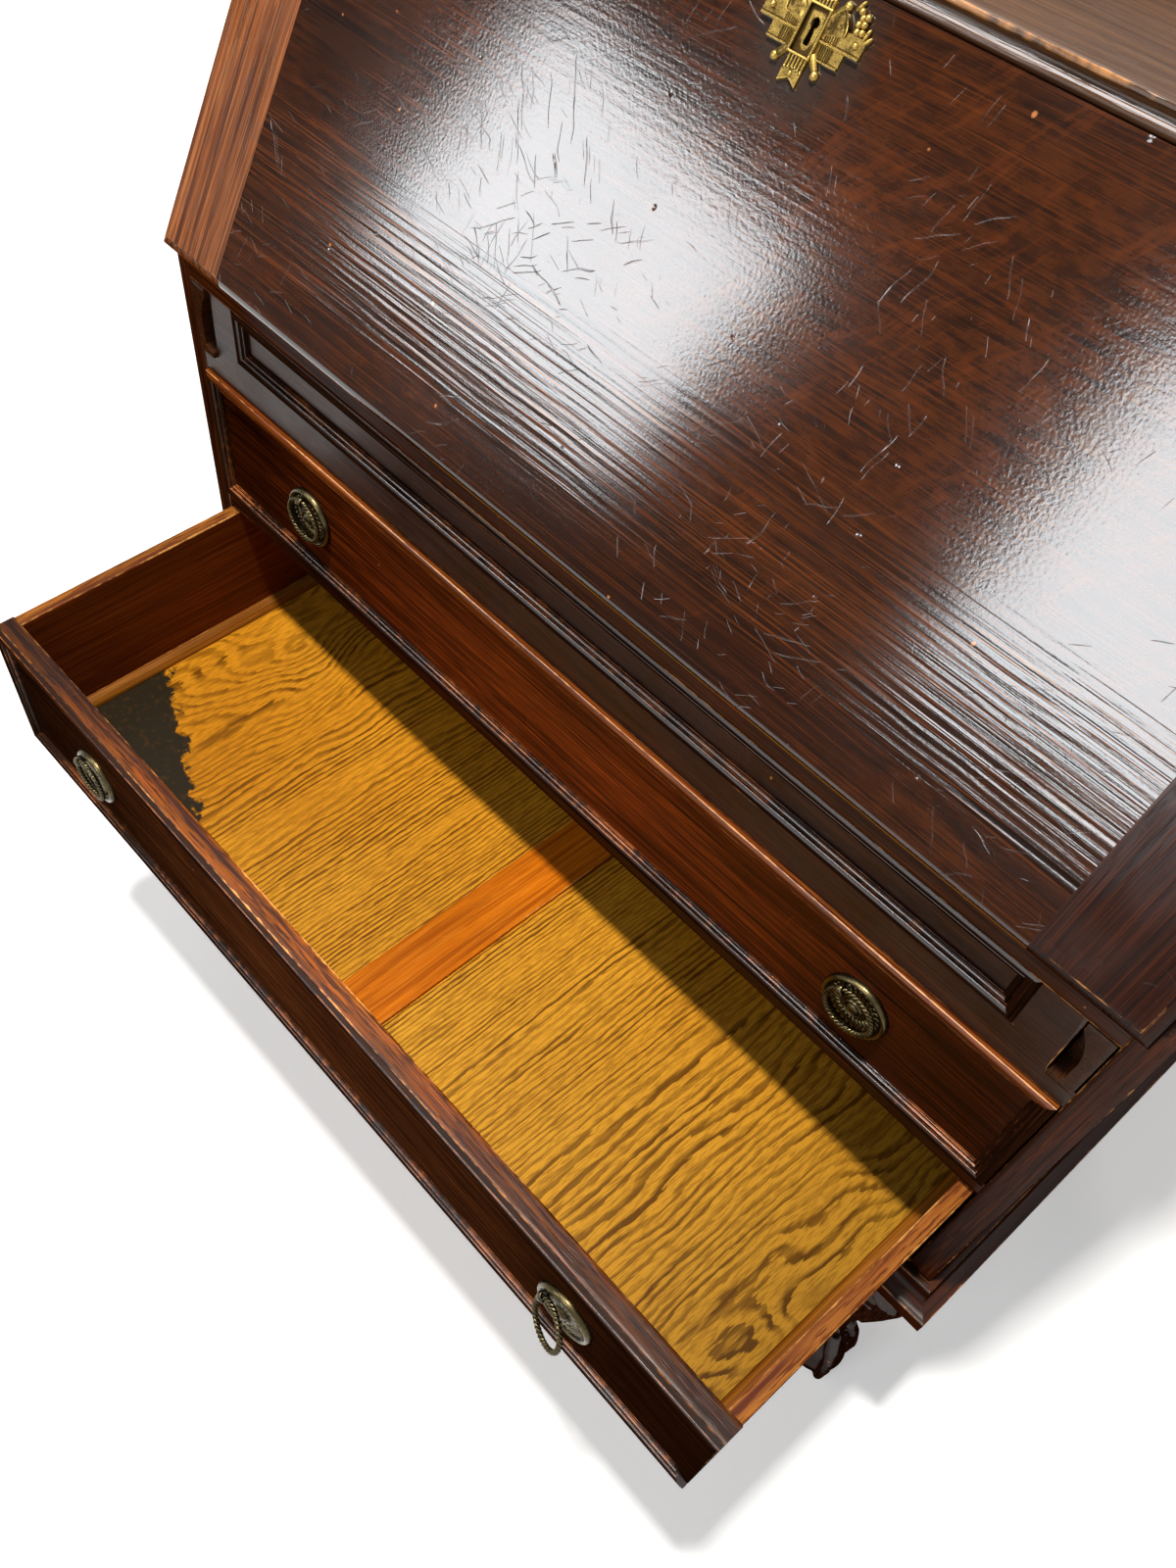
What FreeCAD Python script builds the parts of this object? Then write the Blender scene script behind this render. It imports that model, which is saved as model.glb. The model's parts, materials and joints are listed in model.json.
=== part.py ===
import FreeCAD, Part
import math
import os
import Sketcher

# Drop-front writing bureau in dark stained oak, about 1920 to 1935, standing on four cabriole legs.
# Millimetres, +X to the right of someone facing the front, +Y to the back, +Z up.
# The origin is on the floor, under the middle of the box that the bureau fills with its lower drawer open.
# The rest position has the lower drawer open, one ring lifted and everything else closed.

doc = FreeCAD.newDocument("drop_front_bureau")
sheet = doc.addObject("Spreadsheet::Sheet", "Sizes")

SIZES = [
    ("case_width", 838.0),
    ("case_depth", 421.0),
    ("side_thick", 18.0),
    ("back_thick", 8.0),
    ("bottom_thick", 22.0),
    ("leg_height", 319.0),
    ("lower_front_height", 133.0),
    ("upper_front_height", 117.5),
    ("divider_thick", 15.0),
    ("drawer_gap", 1.0),
    ("frieze_height", 75.5),
    ("frieze_thick", 20.0),
    ("fall_slope", 59.5),
    ("fall_length", 308.0),
    ("fall_thick", 19.0),
    ("fall_inset", 9.0),
    ("fall_clearance", 0.3),
    ("fall_lip", 9.0),
    ("fall_nosing", 7.0),
    ("fall_fillet", 2.0),
    ("clamp_width", 70.0),
    ("hinge_forward", 3.0),
    ("bed_gap", 0.4),
    ("top_thick", 17.0),
    ("top_overhang", 8.0),
    ("top_gap", 1.4),
    ("top_rise", 1.4),
    ("top_bevel", 8.0),
    ("top_bead", 5.0),
    ("top_quirk", 1.5),
    ("top_fillet", 2.5),
    ("base_height", 36.0),
    ("base_drop", 19.0),
    ("base_thick", 18.0),
    ("base_upright", 15.0),
    ("base_cove", 12.0),
    ("strip_width", 13.0),
    ("strip_thick", 5.5),
    ("strip_arris", 4.2),
    ("strip_band", 7.4),
    ("strip_groove", 2.6),
    ("strip_quirk", 0.8),
    ("strip_bead", 2.4),
    ("strip_fillet", 1.8),
    ("panel_sink", 4.0),
    ("panel_half_width", 354.6),
    ("panel_foot", 28.5),
    ("panel_head", 1.5),
    ("loper_thick", 17.0),
    ("loper_height", 57.0),
    ("loper_gap", 1.0),
    ("loper_headroom", 0.5),
    ("loper_length", 333.0),
    ("loper_proud", 3.5),
    ("loper_travel", 240.0),
    ("loper_scoop", 9.0),
    ("loper_scoop_depth", 16.0),
    ("guide_thick", 15.0),
    ("peg_radius", 4.0),
    ("peg_inset", 30.0),
    ("peg_clearance", 0.5),
    ("front_thick", 15.5),
    ("front_setback", 1.1),
    ("drawer_side_thick", 11.0),
    ("drawer_side_gap", 2.0),
    ("drawer_back_thick", 9.0),
    ("drawer_back_gap", 2.0),
    ("drawer_back_step", 6.0),
    ("drawer_bottom_thick", 6.0),
    ("drawer_bottom_lift", 9.0),
    ("drawer_open", 226.0),
    ("muntin_width", 47.0),
    ("muntin_thick", 12.0),
    ("bead_radius", 9.0),
    ("pull_spacing", 556.0),
    ("pull_drop", 5.0),
    ("plate_radius", 24.5),
    ("plate_thick", 2.4),
    ("rim_width", 3.6),
    ("rim_height", 4.6),
    ("boss_radius", 7.5),
    ("boss_height", 6.0),
    ("stud_radius", 2.5),
    ("stud_length", 11.0),
    ("stud_clearance", 0.1),
    ("ring_radius", 17.5),
    ("ring_wire", 2.2),
    ("ring_standoff", 7.4),
    ("lug_width", 5.0),
    ("lug_wall", 1.8),
    ("lug_clearance", 0.4),
    ("upper_left_turn", 4.0),
    ("upper_right_turn", 36.0),
    ("lower_left_turn", 40.0),
    ("lower_right_turn", 58.0),
    ("ring_lift", 26.0),
    ("hinge_spread", 560.0),
    ("hinge_length", 60.0),
    ("hinge_leaf", 34.0),
    ("hinge_thick", 2.2),
    ("barrel_radius", 3.6),
    ("pin_radius", 1.5),
    ("pin_clearance", 0.05),
    ("knuckle_gap", 0.25),
    ("barrel_clearance", 0.5),
    ("lock_width", 60.0),
    ("lock_height", 36.0),
    ("lock_thick", 10.0),
    ("lock_clearance", 0.2),
    ("bolt_width", 14.0),
    ("bolt_thick", 5.0),
    ("bolt_length", 24.0),
    ("bolt_offset", 3.3),
    ("bolt_clearance", 0.3),
    ("bolt_travel", 7.0),
    ("key_drop", 22.6),
    ("key_width", 3.6),
    ("key_height", 13.0),
    ("escutcheon_half_width", 33.0),
    ("escutcheon_half_height", 24.0),
    ("escutcheon_rise", 19.5),
    ("escutcheon_thick", 2.2),
    ("escutcheon_ribbon", 12.0),
    ("escutcheon_rod", 5.5),
    ("rod_angle", 29.0),
    ("ribbon_angle", 56.0),
    ("leaf_angle", 80.0),
    ("escutcheon_frame_width", 14.0),
    ("escutcheon_frame_height", 22.5),
    ("escutcheon_frame_thick", 3.6),
    ("fitting_front", 232.0),
    ("shelf_thick", 9.0),
    ("shelf_height", 125.0),
    ("divider_board", 8.0),
    ("divider_spacing", 270.0),
    ("block_width", 58.0),
    ("block_height", 30.0),
    ("knee_radius", 33.0),
    ("knee_throw", 7.0),
    ("ankle_radius", 14.5),
    ("ankle_throw", -5.0),
    ("ankle_rise", 38.0),
    ("foot_throw", 7.0),
    ("ball_radius", 25.0),
    ("ball_sink", 2.0),
    ("claw_radius", 6.0),
    ("dowel_radius", 10.0),
    ("dowel_length", 16.0),
    ("dowel_clearance", 0.1),
]


class Size:
    """A measure with its number and the sheet expression that gives it."""

    def __init__(self, number, text):
        self.number = float(number)
        self.text = text

    def __add__(self, other):
        other = as_size(other)
        return Size(self.number + other.number, f"({self.text} + {other.text})")

    def __radd__(self, other):
        return as_size(other) + self

    def __sub__(self, other):
        other = as_size(other)
        return Size(self.number - other.number, f"({self.text} - {other.text})")

    def __rsub__(self, other):
        return as_size(other) - self

    def __mul__(self, other):
        other = as_size(other)
        return Size(self.number * other.number, f"({self.text} * {other.text})")

    def __rmul__(self, other):
        return as_size(other) * self

    def __truediv__(self, other):
        other = as_size(other)
        return Size(self.number / other.number, f"({self.text} / {other.text})")

    def __neg__(self):
        return Size(-self.number, f"(0 - {self.text})")


def as_size(value):
    if isinstance(value, Size):
        return value
    return Size(value, f"({float(value)})")


def sine(angle):
    return Size(math.sin(math.radians(angle.number)), f"sin({angle.text})")


def cosine(angle):
    return Size(math.cos(math.radians(angle.number)), f"cos({angle.text})")


s = {}
for row, (name, number) in enumerate(SIZES, start=1):
    sheet.set(f"A{row}", name)
    sheet.set(f"B{row}", str(number))
    sheet.setAlias(f"B{row}", name)
    s[name] = Size(number, f"Sizes.{name}")
doc.recompute()

# Lines that several pieces share, all worked out from the sizes above.
ZERO = as_size(0)
half_case = s["case_width"] / 2
half_inside = half_case - s["side_thick"]
inside_depth = s["case_depth"] - s["back_thick"]
opening_floor = s["leg_height"] + s["bottom_thick"]
lower_bottom = opening_floor + s["drawer_gap"]
lower_top = lower_bottom + s["lower_front_height"]
divider_bottom = lower_top + s["drawer_gap"]
divider_top = divider_bottom + s["divider_thick"]
upper_bottom = divider_top + s["drawer_gap"]
upper_top = upper_bottom + s["upper_front_height"]
frieze_bottom = upper_top + s["drawer_gap"]
bed_bottom = frieze_bottom + s["frieze_height"]
bed_top = bed_bottom + s["fall_thick"]
hinge_y = -s["hinge_forward"]
slope_sine = sine(s["fall_slope"])
slope_cosine = cosine(s["fall_slope"])
top_bottom = bed_top + (s["fall_length"] + s["top_gap"]) * slope_sine + s["top_rise"]
loper_top = bed_bottom - s["loper_headroom"]
loper_bottom = loper_top - s["loper_height"]
notch_bottom = loper_bottom - s["loper_headroom"]
notch_inner = half_inside - s["loper_thick"] - 2 * s["loper_gap"]
half_front = half_inside - s["drawer_gap"]
half_box = half_inside - s["drawer_side_gap"]
front_back = s["front_setback"] + s["front_thick"]
strip_face = s["front_setback"] - s["strip_thick"]
box_end = inside_depth - s["drawer_back_gap"]
leg_inset = s["block_width"] / 2

# The case front plane, set so that the origin is in the middle from the lifted ring to the back knees.
ring_reach = s["ring_standoff"] + s["ring_wire"] + 2 * s["ring_radius"] * sine(s["ring_lift"]) - s["front_setback"]
knee_reach = s["knee_radius"] + s["knee_throw"] * math.sqrt(0.5) - leg_inset
front_plane = (s["drawer_open"] + ring_reach - s["case_depth"] - knee_reach) / 2

nodes = []


def vector(x, y, z):
    return FreeCAD.Vector(x, y, z)


def bind(thing, field, size):
    thing.setExpression(field, as_size(size).text)


def place(thing, x, y, z, axis=None, angle=None):
    """Stands a piece at a point of the case frame, turned about one axis."""
    x = as_size(x)
    y = as_size(y) + front_plane
    z = as_size(z)
    spin = FreeCAD.Rotation()
    if axis is not None:
        angle = as_size(angle)
        spin = FreeCAD.Rotation(vector(*axis), angle.number)
    thing.Placement = FreeCAD.Placement(vector(x.number, y.number, z.number), spin)
    bind(thing, "Placement.Base.x", x)
    bind(thing, "Placement.Base.y", y)
    bind(thing, "Placement.Base.z", z)
    if axis is not None and abs(angle.number) > 1e-9:
        bind(thing, "Placement.Rotation.Angle", angle)


def keep(thing, label):
    thing.Label = label
    nodes.append(thing)
    return thing


def box(name, x0, x1, y0, y1, z0, z1, local=False):
    """A plain board between three pairs of planes."""
    block = doc.addObject("Part::Box", name)
    bind(block, "Length", as_size(x1) - x0)
    bind(block, "Width", as_size(y1) - y0)
    bind(block, "Height", as_size(z1) - z0)
    if local:
        block.Placement.Base = vector(as_size(x0).number, as_size(y0).number, as_size(z0).number)
        bind(block, "Placement.Base.x", x0)
        bind(block, "Placement.Base.y", y0)
        bind(block, "Placement.Base.z", z0)
    else:
        place(block, x0, y0, z0)
    return block


def rod(name, radius, length, x, y, z, axis, local=True):
    """A round bar that starts at a point and runs along one axis."""
    bar = doc.addObject("Part::Cylinder", name)
    bind(bar, "Radius", radius)
    bind(bar, "Height", length)
    turn = {"x": ((0, 1, 0), 90.0), "y": ((1, 0, 0), -90.0), "z": ((0, 0, 1), 0.0)}[axis]
    spin = FreeCAD.Rotation(vector(*turn[0]), turn[1])
    offset = ZERO if local else front_plane
    x = as_size(x)
    y = as_size(y) + offset
    z = as_size(z)
    bar.Placement = FreeCAD.Placement(vector(x.number, y.number, z.number), spin)
    bind(bar, "Placement.Base.x", x)
    bind(bar, "Placement.Base.y", y)
    bind(bar, "Placement.Base.z", z)
    return bar


def cut(name, base, tools):
    """Takes one tool after another out of a piece."""
    if len(tools) == 1:
        tool = tools[0]
    else:
        tool = doc.addObject("Part::MultiFuse", f"{name}_tools")
        tool.Shapes = tools
    result = doc.addObject("Part::Cut", name)
    result.Base = base
    result.Tool = tool
    return result


def fuse(name, shapes):
    result = doc.addObject("Part::MultiFuse", name)
    result.Shapes = shapes
    return result


def sketch(body, plane, points, arcs=None, lift=None):
    """A closed outline on one of the body's own planes; arcs maps a corner to the radius of the arc after it."""
    arcs = arcs or {}
    drawing = body.newObject("Sketcher::SketchObject", f"{body.Name}_outline")
    for feature in body.Origin.OriginFeatures:
        if feature.Role == plane:
            drawing.AttachmentSupport = [(feature, "")]
    drawing.MapMode = "FlatFace"
    if lift is not None:
        bind(drawing, "AttachmentOffset.Base.z", lift)
    points = [(as_size(u), as_size(v)) for u, v in points]
    ends = []
    for index, (u, v) in enumerate(points):
        after_u, after_v = points[(index + 1) % len(points)]
        start = vector(u.number, v.number, 0)
        finish = vector(after_u.number, after_v.number, 0)
        if index in arcs:
            radius, side = arcs[index]
            radius = as_size(radius)
            chord = finish - start
            middle = (start + finish) * 0.5
            across = vector(-chord.y, chord.x, 0).normalize()
            drop = math.sqrt(max(radius.number ** 2 - (chord.Length / 2) ** 2, 0.0))
            centre = middle + across * (drop * side)
            circle = Part.Circle(centre, vector(0, 0, 1), radius.number)
            first = math.atan2(start.y - centre.y, start.x - centre.x)
            last = math.atan2(finish.y - centre.y, finish.x - centre.x)
            if side > 0:
                drawing.addGeometry(Part.ArcOfCircle(circle, first, last))
                ends.append((1, 2))
            else:
                drawing.addGeometry(Part.ArcOfCircle(circle, last, first))
                ends.append((2, 1))
        else:
            drawing.addGeometry(Part.LineSegment(start, finish))
            ends.append((1, 2))
    for index in range(len(points)):
        following = (index + 1) % len(points)
        drawing.addConstraint(
            Sketcher.Constraint("Coincident", index, ends[index][1], following, ends[following][0])
        )
    for index, (u, v) in enumerate(points):
        for kind, size, letter in (("DistanceX", u, "across"), ("DistanceY", v, "along")):
            number = drawing.addConstraint(
                Sketcher.Constraint(kind, -1, 1, index, ends[index][0], size.number)
            )
            drawing.renameConstraint(number, f"{letter}{index}")
            bind(drawing, f"Constraints.{letter}{index}", size)
    for index, (radius, side) in arcs.items():
        radius = as_size(radius)
        number = drawing.addConstraint(Sketcher.Constraint("Radius", index, radius.number))
        drawing.renameConstraint(number, f"radius{index}")
        bind(drawing, f"Constraints.radius{index}", radius)
    return drawing


def round_sketch(body, plane, u, v, radius, lift=None):
    """A circle on one of the body's own planes."""
    drawing = body.newObject("Sketcher::SketchObject", f"{body.Name}_circle")
    for feature in body.Origin.OriginFeatures:
        if feature.Role == plane:
            drawing.AttachmentSupport = [(feature, "")]
    drawing.MapMode = "FlatFace"
    if lift is not None:
        bind(drawing, "AttachmentOffset.Base.z", lift)
    u = as_size(u)
    v = as_size(v)
    radius = as_size(radius)
    drawing.addGeometry(Part.Circle(vector(u.number, v.number, 0), vector(0, 0, 1), radius.number))
    for kind, size, letter in (("DistanceX", u, "across"), ("DistanceY", v, "along")):
        number = drawing.addConstraint(Sketcher.Constraint(kind, -1, 1, 0, 3, size.number))
        drawing.renameConstraint(number, letter)
        bind(drawing, f"Constraints.{letter}", size)
    number = drawing.addConstraint(Sketcher.Constraint("Radius", 0, radius.number))
    drawing.renameConstraint(number, "radius")
    bind(drawing, "Constraints.radius", radius)
    return drawing


def new_body(name):
    return doc.addObject("PartDesign::Body", name)


def pad(body, drawing, length, symmetric=False, reverse=False):
    feature = body.newObject("PartDesign::Pad", f"{body.Name}_pad")
    feature.Profile = drawing
    bind(feature, "Length", length)
    if symmetric:
        feature.SideType = "Symmetric"
    feature.Reversed = reverse
    return feature


def pocket(body, drawing, length, symmetric=False, reverse=False):
    feature = body.newObject("PartDesign::Pocket", f"{body.Name}_pocket")
    feature.Profile = drawing
    bind(feature, "Length", length)
    if symmetric:
        feature.SideType = "Symmetric"
    feature.Reversed = reverse
    return feature


# Case sides. Each is one oak board, upright at the front up to the bed and sloped above it for the fall to lie on.
# The slope runs a hair under the fall's inner face, so that the fall rests without binding.
slope_start = (s["hinge_forward"] - s["fall_clearance"] * slope_sine) / slope_cosine
side_knee = bed_top + slope_start * slope_sine - s["fall_clearance"] * slope_cosine
slope_end = (top_bottom - bed_top + s["fall_clearance"] * slope_cosine) / slope_sine
side_head = hinge_y + slope_end * slope_cosine + s["fall_clearance"] * slope_sine
for label, inner in (("left_side", -half_case), ("right_side", half_inside)):
    body = new_body(label)
    profile = sketch(
        body,
        "YZ_Plane",
        [
            (ZERO, s["leg_height"]),
            (s["case_depth"], s["leg_height"]),
            (s["case_depth"], top_bottom),
            (side_head, top_bottom),
            (ZERO, side_knee),
        ],
    )
    pad(body, profile, s["side_thick"])
    place(body, inner, 0, 0)
    keep(body, label)

# Case bottom, the divider between the drawers and the back panel, all let in between the sides.
# Each leg's dowel goes up into a bored hole in the bottom board.
leg_x = half_case - leg_inset
bottom = box("bottom_blank", -half_inside, half_inside, 0, inside_depth, s["leg_height"], opening_floor)
holes = []
for number, (x, y) in enumerate(
    ((-leg_x, leg_inset), (leg_x, leg_inset), (-leg_x, s["case_depth"] - leg_inset), (leg_x, s["case_depth"] - leg_inset))
):
    holes.append(
        rod(
            f"dowel_hole_{number}",
            s["dowel_radius"] + s["dowel_clearance"],
            s["dowel_length"] + s["dowel_clearance"],
            x,
            y,
            s["leg_height"],
            "z",
            local=False,
        )
    )
keep(cut("case_bottom", bottom, holes), "case_bottom")
keep(box("drawer_divider", -half_inside, half_inside, 0, inside_depth, divider_bottom, divider_top), "drawer_divider")
keep(
    box("back_panel", -half_inside, half_inside, inside_depth, s["case_depth"], s["leg_height"], top_bottom),
    "back_panel",
)

# Frieze board under the bed: notched at both ends for the lopers, with a long sunk panel on its face.
frieze = box("frieze_blank", -half_inside, half_inside, 0, s["frieze_thick"], frieze_bottom, bed_bottom)
panel_low = frieze_bottom + s["panel_foot"]
panel_high = bed_bottom - s["panel_head"]
left_notch = box("left_notch", -half_inside, -notch_inner, 0, s["frieze_thick"], notch_bottom, bed_bottom)
right_notch = box("right_notch", notch_inner, half_inside, 0, s["frieze_thick"], notch_bottom, bed_bottom)
sunk = box("panel_sinking", -s["panel_half_width"], s["panel_half_width"], 0, s["panel_sink"], panel_low, panel_high)
keep(cut("frieze_board", frieze, [left_notch, right_notch, sunk]), "frieze_board")


def mitred_strip(label, length, x, y, z, angle):
    """A mitred strip, outer edge low: a broad round band, a quirk, a bead and a fillet, then turned into place."""
    body = new_body(label)
    half = as_size(length) / 2
    width = s["strip_width"]
    face = sketch(body, "XZ_Plane", [(-half, 0), (half, 0), (half - width, width), (width - half, width)])
    pad(body, face, s["strip_thick"])
    thick = s["strip_thick"]
    band = s["strip_band"]
    crown = thick - s["strip_arris"]
    bead_start = band + s["strip_quirk"]
    bead_end = bead_start + s["strip_bead"]
    edge = sketch(
        body,
        "YZ_Plane",
        [
            (-s["strip_arris"], 0),
            (-s["strip_arris"], band),
            (-s["strip_groove"], band),
            (-s["strip_groove"], bead_start),
            (-s["strip_groove"], bead_end),
            (-s["strip_fillet"], bead_end),
            (-s["strip_fillet"], width),
            (-thick - 1, width),
            (-thick - 1, 0),
        ],
        arcs={
            0: (band * band / (crown * 8) + crown / 2, -1),
            3: (s["strip_bead"] * 0.6, -1),
        },
    )
    pocket(body, edge, length, symmetric=True)
    place(body, x, y, z, (0, 1, 0), angle)
    keep(body, label)
    return body


# Four strips frame the sunk panel of the frieze, standing in the sinking and a little proud of the face.
panel_middle = (panel_low + panel_high) / 2
panel_tall = panel_high - panel_low
mitred_strip("frieze_moulding_bottom", 2 * s["panel_half_width"], 0, s["panel_sink"], panel_low, 0)
mitred_strip("frieze_moulding_top", 2 * s["panel_half_width"], 0, s["panel_sink"], panel_high, 180)
mitred_strip("frieze_moulding_left", panel_tall, -s["panel_half_width"], s["panel_sink"], panel_middle, 90)
mitred_strip("frieze_moulding_right", panel_tall, s["panel_half_width"], s["panel_sink"], panel_middle, -90)

# Writing bed: a board as thick as the fall, so that the open fall carries on its surface.
# Its front edge is cut away for the hinge barrels and its top is let in for the hinge leaves.
bed = box("bed_blank", -half_inside, half_inside, hinge_y + s["bed_gap"], inside_depth, bed_bottom, bed_top)
half_hinge = s["hinge_length"] / 2
bed_tools = []
for side, sign in (("left", -1), ("right", 1)):
    centre = s["hinge_spread"] / 2 * sign
    bed_tools.append(
        box(
            f"{side}_bed_leaf_seat",
            centre - half_hinge,
            centre + half_hinge,
            hinge_y,
            hinge_y + s["hinge_leaf"],
            bed_top - s["hinge_thick"],
            bed_top,
        )
    )
    bed_tools.append(
        rod(
            f"{side}_bed_barrel_seat",
            s["barrel_radius"] + s["barrel_clearance"],
            s["hinge_length"] + 2 * s["barrel_clearance"],
            centre - half_hinge - s["barrel_clearance"],
            hinge_y,
            bed_top,
            "x",
            local=False,
        )
    )
keep(cut("writing_bed", bed, bed_tools), "writing_bed")

# Top board. Its front edge leans over the fall's top edge and is run with a bead, a cove and a fillet.
# A mortise in the leaning face takes the lock bolt.
edge_base = s["fall_length"] + s["top_gap"]
bevel_start = (top_bottom - bed_top - edge_base * slope_sine) / slope_cosine
edge_y0 = hinge_y + edge_base * slope_cosine - bevel_start * slope_sine
bevel_end = bevel_start + s["top_bevel"]
edge_y1 = hinge_y + edge_base * slope_cosine - bevel_end * slope_sine
edge_z1 = bed_top + edge_base * slope_sine + bevel_end * slope_cosine
top_top = top_bottom + s["top_thick"]
bead_z = edge_z1 + s["top_bead"]
cove_z = top_top - s["top_fillet"]
quirk = s["top_quirk"]
body = new_body("top_blank")
profile = sketch(
    body,
    "YZ_Plane",
    [
        (s["case_depth"], top_bottom),
        (s["case_depth"], top_top),
        (edge_y1, top_top),
        (edge_y1, cove_z),
        (edge_y1 + quirk, bead_z),
        (edge_y1, edge_z1),
        (edge_y0, top_bottom),
    ],
    arcs={3: ((cove_z - bead_z + quirk) * 0.55, -1), 4: ((s["top_bead"] + quirk) * 0.55, 1)},
)
pad(body, profile, s["case_width"] + 2 * s["top_overhang"], symmetric=True)
place(body, 0, 0, 0)
mortise = doc.addObject("Part::Box", "bolt_mortise")
mortise_half = s["bolt_width"] / 2 + 1.5
bind(mortise, "Length", 2 * mortise_half)
bind(mortise, "Width", s["bolt_travel"] + 2)
bind(mortise, "Height", s["bolt_thick"] + 2)
mortise_s = edge_base - 1
mortise_n = s["bolt_offset"] - 1
place(
    mortise,
    -mortise_half,
    hinge_y + mortise_s * slope_cosine - mortise_n * slope_sine,
    bed_top + mortise_s * slope_sine + mortise_n * slope_cosine,
    (1, 0, 0),
    s["fall_slope"],
)
keep(cut("top_board", body, [mortise]), "top_board")

# Loper guides: an oak angle beside and under each loper, behind the frieze.
# A groove in the upright lets the loper's peg run and stops it at both ends.
peg_rest = s["loper_length"] - s["loper_proud"] - s["peg_inset"]
groove_front = peg_rest - s["loper_travel"] - s["peg_radius"] - s["peg_clearance"]
groove_back = peg_rest + s["peg_radius"] + s["peg_clearance"]
peg_height = (loper_bottom + loper_top) / 2
groove_half = s["peg_radius"] + s["peg_clearance"]
for side, sign in (("left", -1), ("right", 1)):
    label = f"{side}_loper_guide"
    body = new_body(f"{side}_guide_blank")
    near = notch_inner * sign
    far = half_inside * sign
    inner = (notch_inner - s["guide_thick"]) * sign
    profile = sketch(
        body,
        "XZ_Plane",
        [
            (inner, frieze_bottom),
            (far, frieze_bottom),
            (far, notch_bottom),
            (near, notch_bottom),
            (near, bed_bottom),
            (inner, bed_bottom),
        ],
    )
    pad(body, profile, inside_depth - s["frieze_thick"], reverse=True)
    place(body, 0, s["frieze_thick"], 0)
    depth = s["guide_thick"] / 2
    edges = (near - depth, near) if sign > 0 else (near, near + depth)
    groove = box(
        f"{side}_groove",
        edges[0],
        edges[1],
        groove_front,
        groove_back,
        peg_height - groove_half,
        peg_height + groove_half,
    )
    keep(cut(label, body, [groove]), label)

# Base moulding: three mitred lengths round the foot of the case, thick below and coved above.
base_low = s["leg_height"] - s["base_drop"]
base_high = base_low + s["base_height"]
cove_foot = base_low + s["base_upright"]
cove_head = cove_foot + s["base_cove"]
base_back = s["base_thick"] - s["base_cove"]
body = new_body("base_moulding_front")
reach = half_case + s["base_thick"]
plan = sketch(
    body,
    "XY_Plane",
    [(-reach, -s["base_thick"]), (reach, -s["base_thick"]), (half_case, 0), (-half_case, 0)],
    lift=base_low,
)
pad(body, plan, s["base_height"])
edge = sketch(
    body,
    "YZ_Plane",
    [
        (-s["base_thick"], cove_foot),
        (-base_back, cove_head),
        (-base_back, base_high),
        (-s["base_thick"], base_high),
    ],
    arcs={0: (s["base_cove"], 1)},
)
pocket(body, edge, 2 * reach, symmetric=True)
place(body, 0, 0, 0)
keep(body, "base_moulding_front")
for side, sign in (("left", -1), ("right", 1)):
    label = f"base_moulding_{side}"
    body = new_body(label)
    plan = sketch(
        body,
        "XY_Plane",
        [
            (half_case * sign, 0),
            (reach * sign, -s["base_thick"]),
            (reach * sign, s["case_depth"]),
            (half_case * sign, s["case_depth"]),
        ],
        lift=base_low,
    )
    pad(body, plan, s["base_height"])
    edge = sketch(
        body,
        "XZ_Plane",
        [
            (reach * sign, cove_foot),
            ((half_case + base_back) * sign, cove_head),
            ((half_case + base_back) * sign, base_high),
            (reach * sign, base_high),
        ],
        arcs={0: (s["base_cove"], -sign)},
    )
    pocket(body, edge, 2 * (s["case_depth"] + s["base_thick"]), symmetric=True)
    place(body, 0, 0, 0)
    keep(body, label)

# Cabriole legs: a square block under the case, a swelling knee, a thin ankle and a ball held by four claws.
# Every leg is the same piece, turned so that its knee points out of its own corner.
ball_height = s["ball_radius"] - s["ball_sink"]
block_foot = s["leg_height"] - s["block_height"]
shank_top = block_foot + 2
ankle_height = 2 * s["ball_radius"] + s["ankle_rise"]
shank = shank_top - ankle_height
sections = (
    (shank_top, s["block_width"] / 2 - 2, ZERO),
    (ankle_height + shank * 0.81, s["knee_radius"], s["knee_throw"]),
    (ankle_height + shank * 0.53, s["knee_radius"] * 0.78, s["knee_throw"] * 0.6),
    (ankle_height + shank * 0.23, (s["knee_radius"] + s["ankle_radius"]) * 0.4, s["ankle_throw"] * 0.6),
    (ankle_height, s["ankle_radius"], s["ankle_throw"]),
    (2 * s["ball_radius"] + s["ankle_rise"] * 0.3, s["ankle_radius"] + 2, s["foot_throw"] * 0.2),
    (ball_height + s["ball_radius"] * 0.5, s["ball_radius"] * 0.86, s["foot_throw"]),
)
corners = (
    ("front_right_leg", leg_x, leg_inset, -45.0),
    ("back_right_leg", leg_x, s["case_depth"] - leg_inset, 45.0),
    ("back_left_leg", -leg_x, s["case_depth"] - leg_inset, 135.0),
    ("front_left_leg", -leg_x, leg_inset, -135.0),
)
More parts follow.
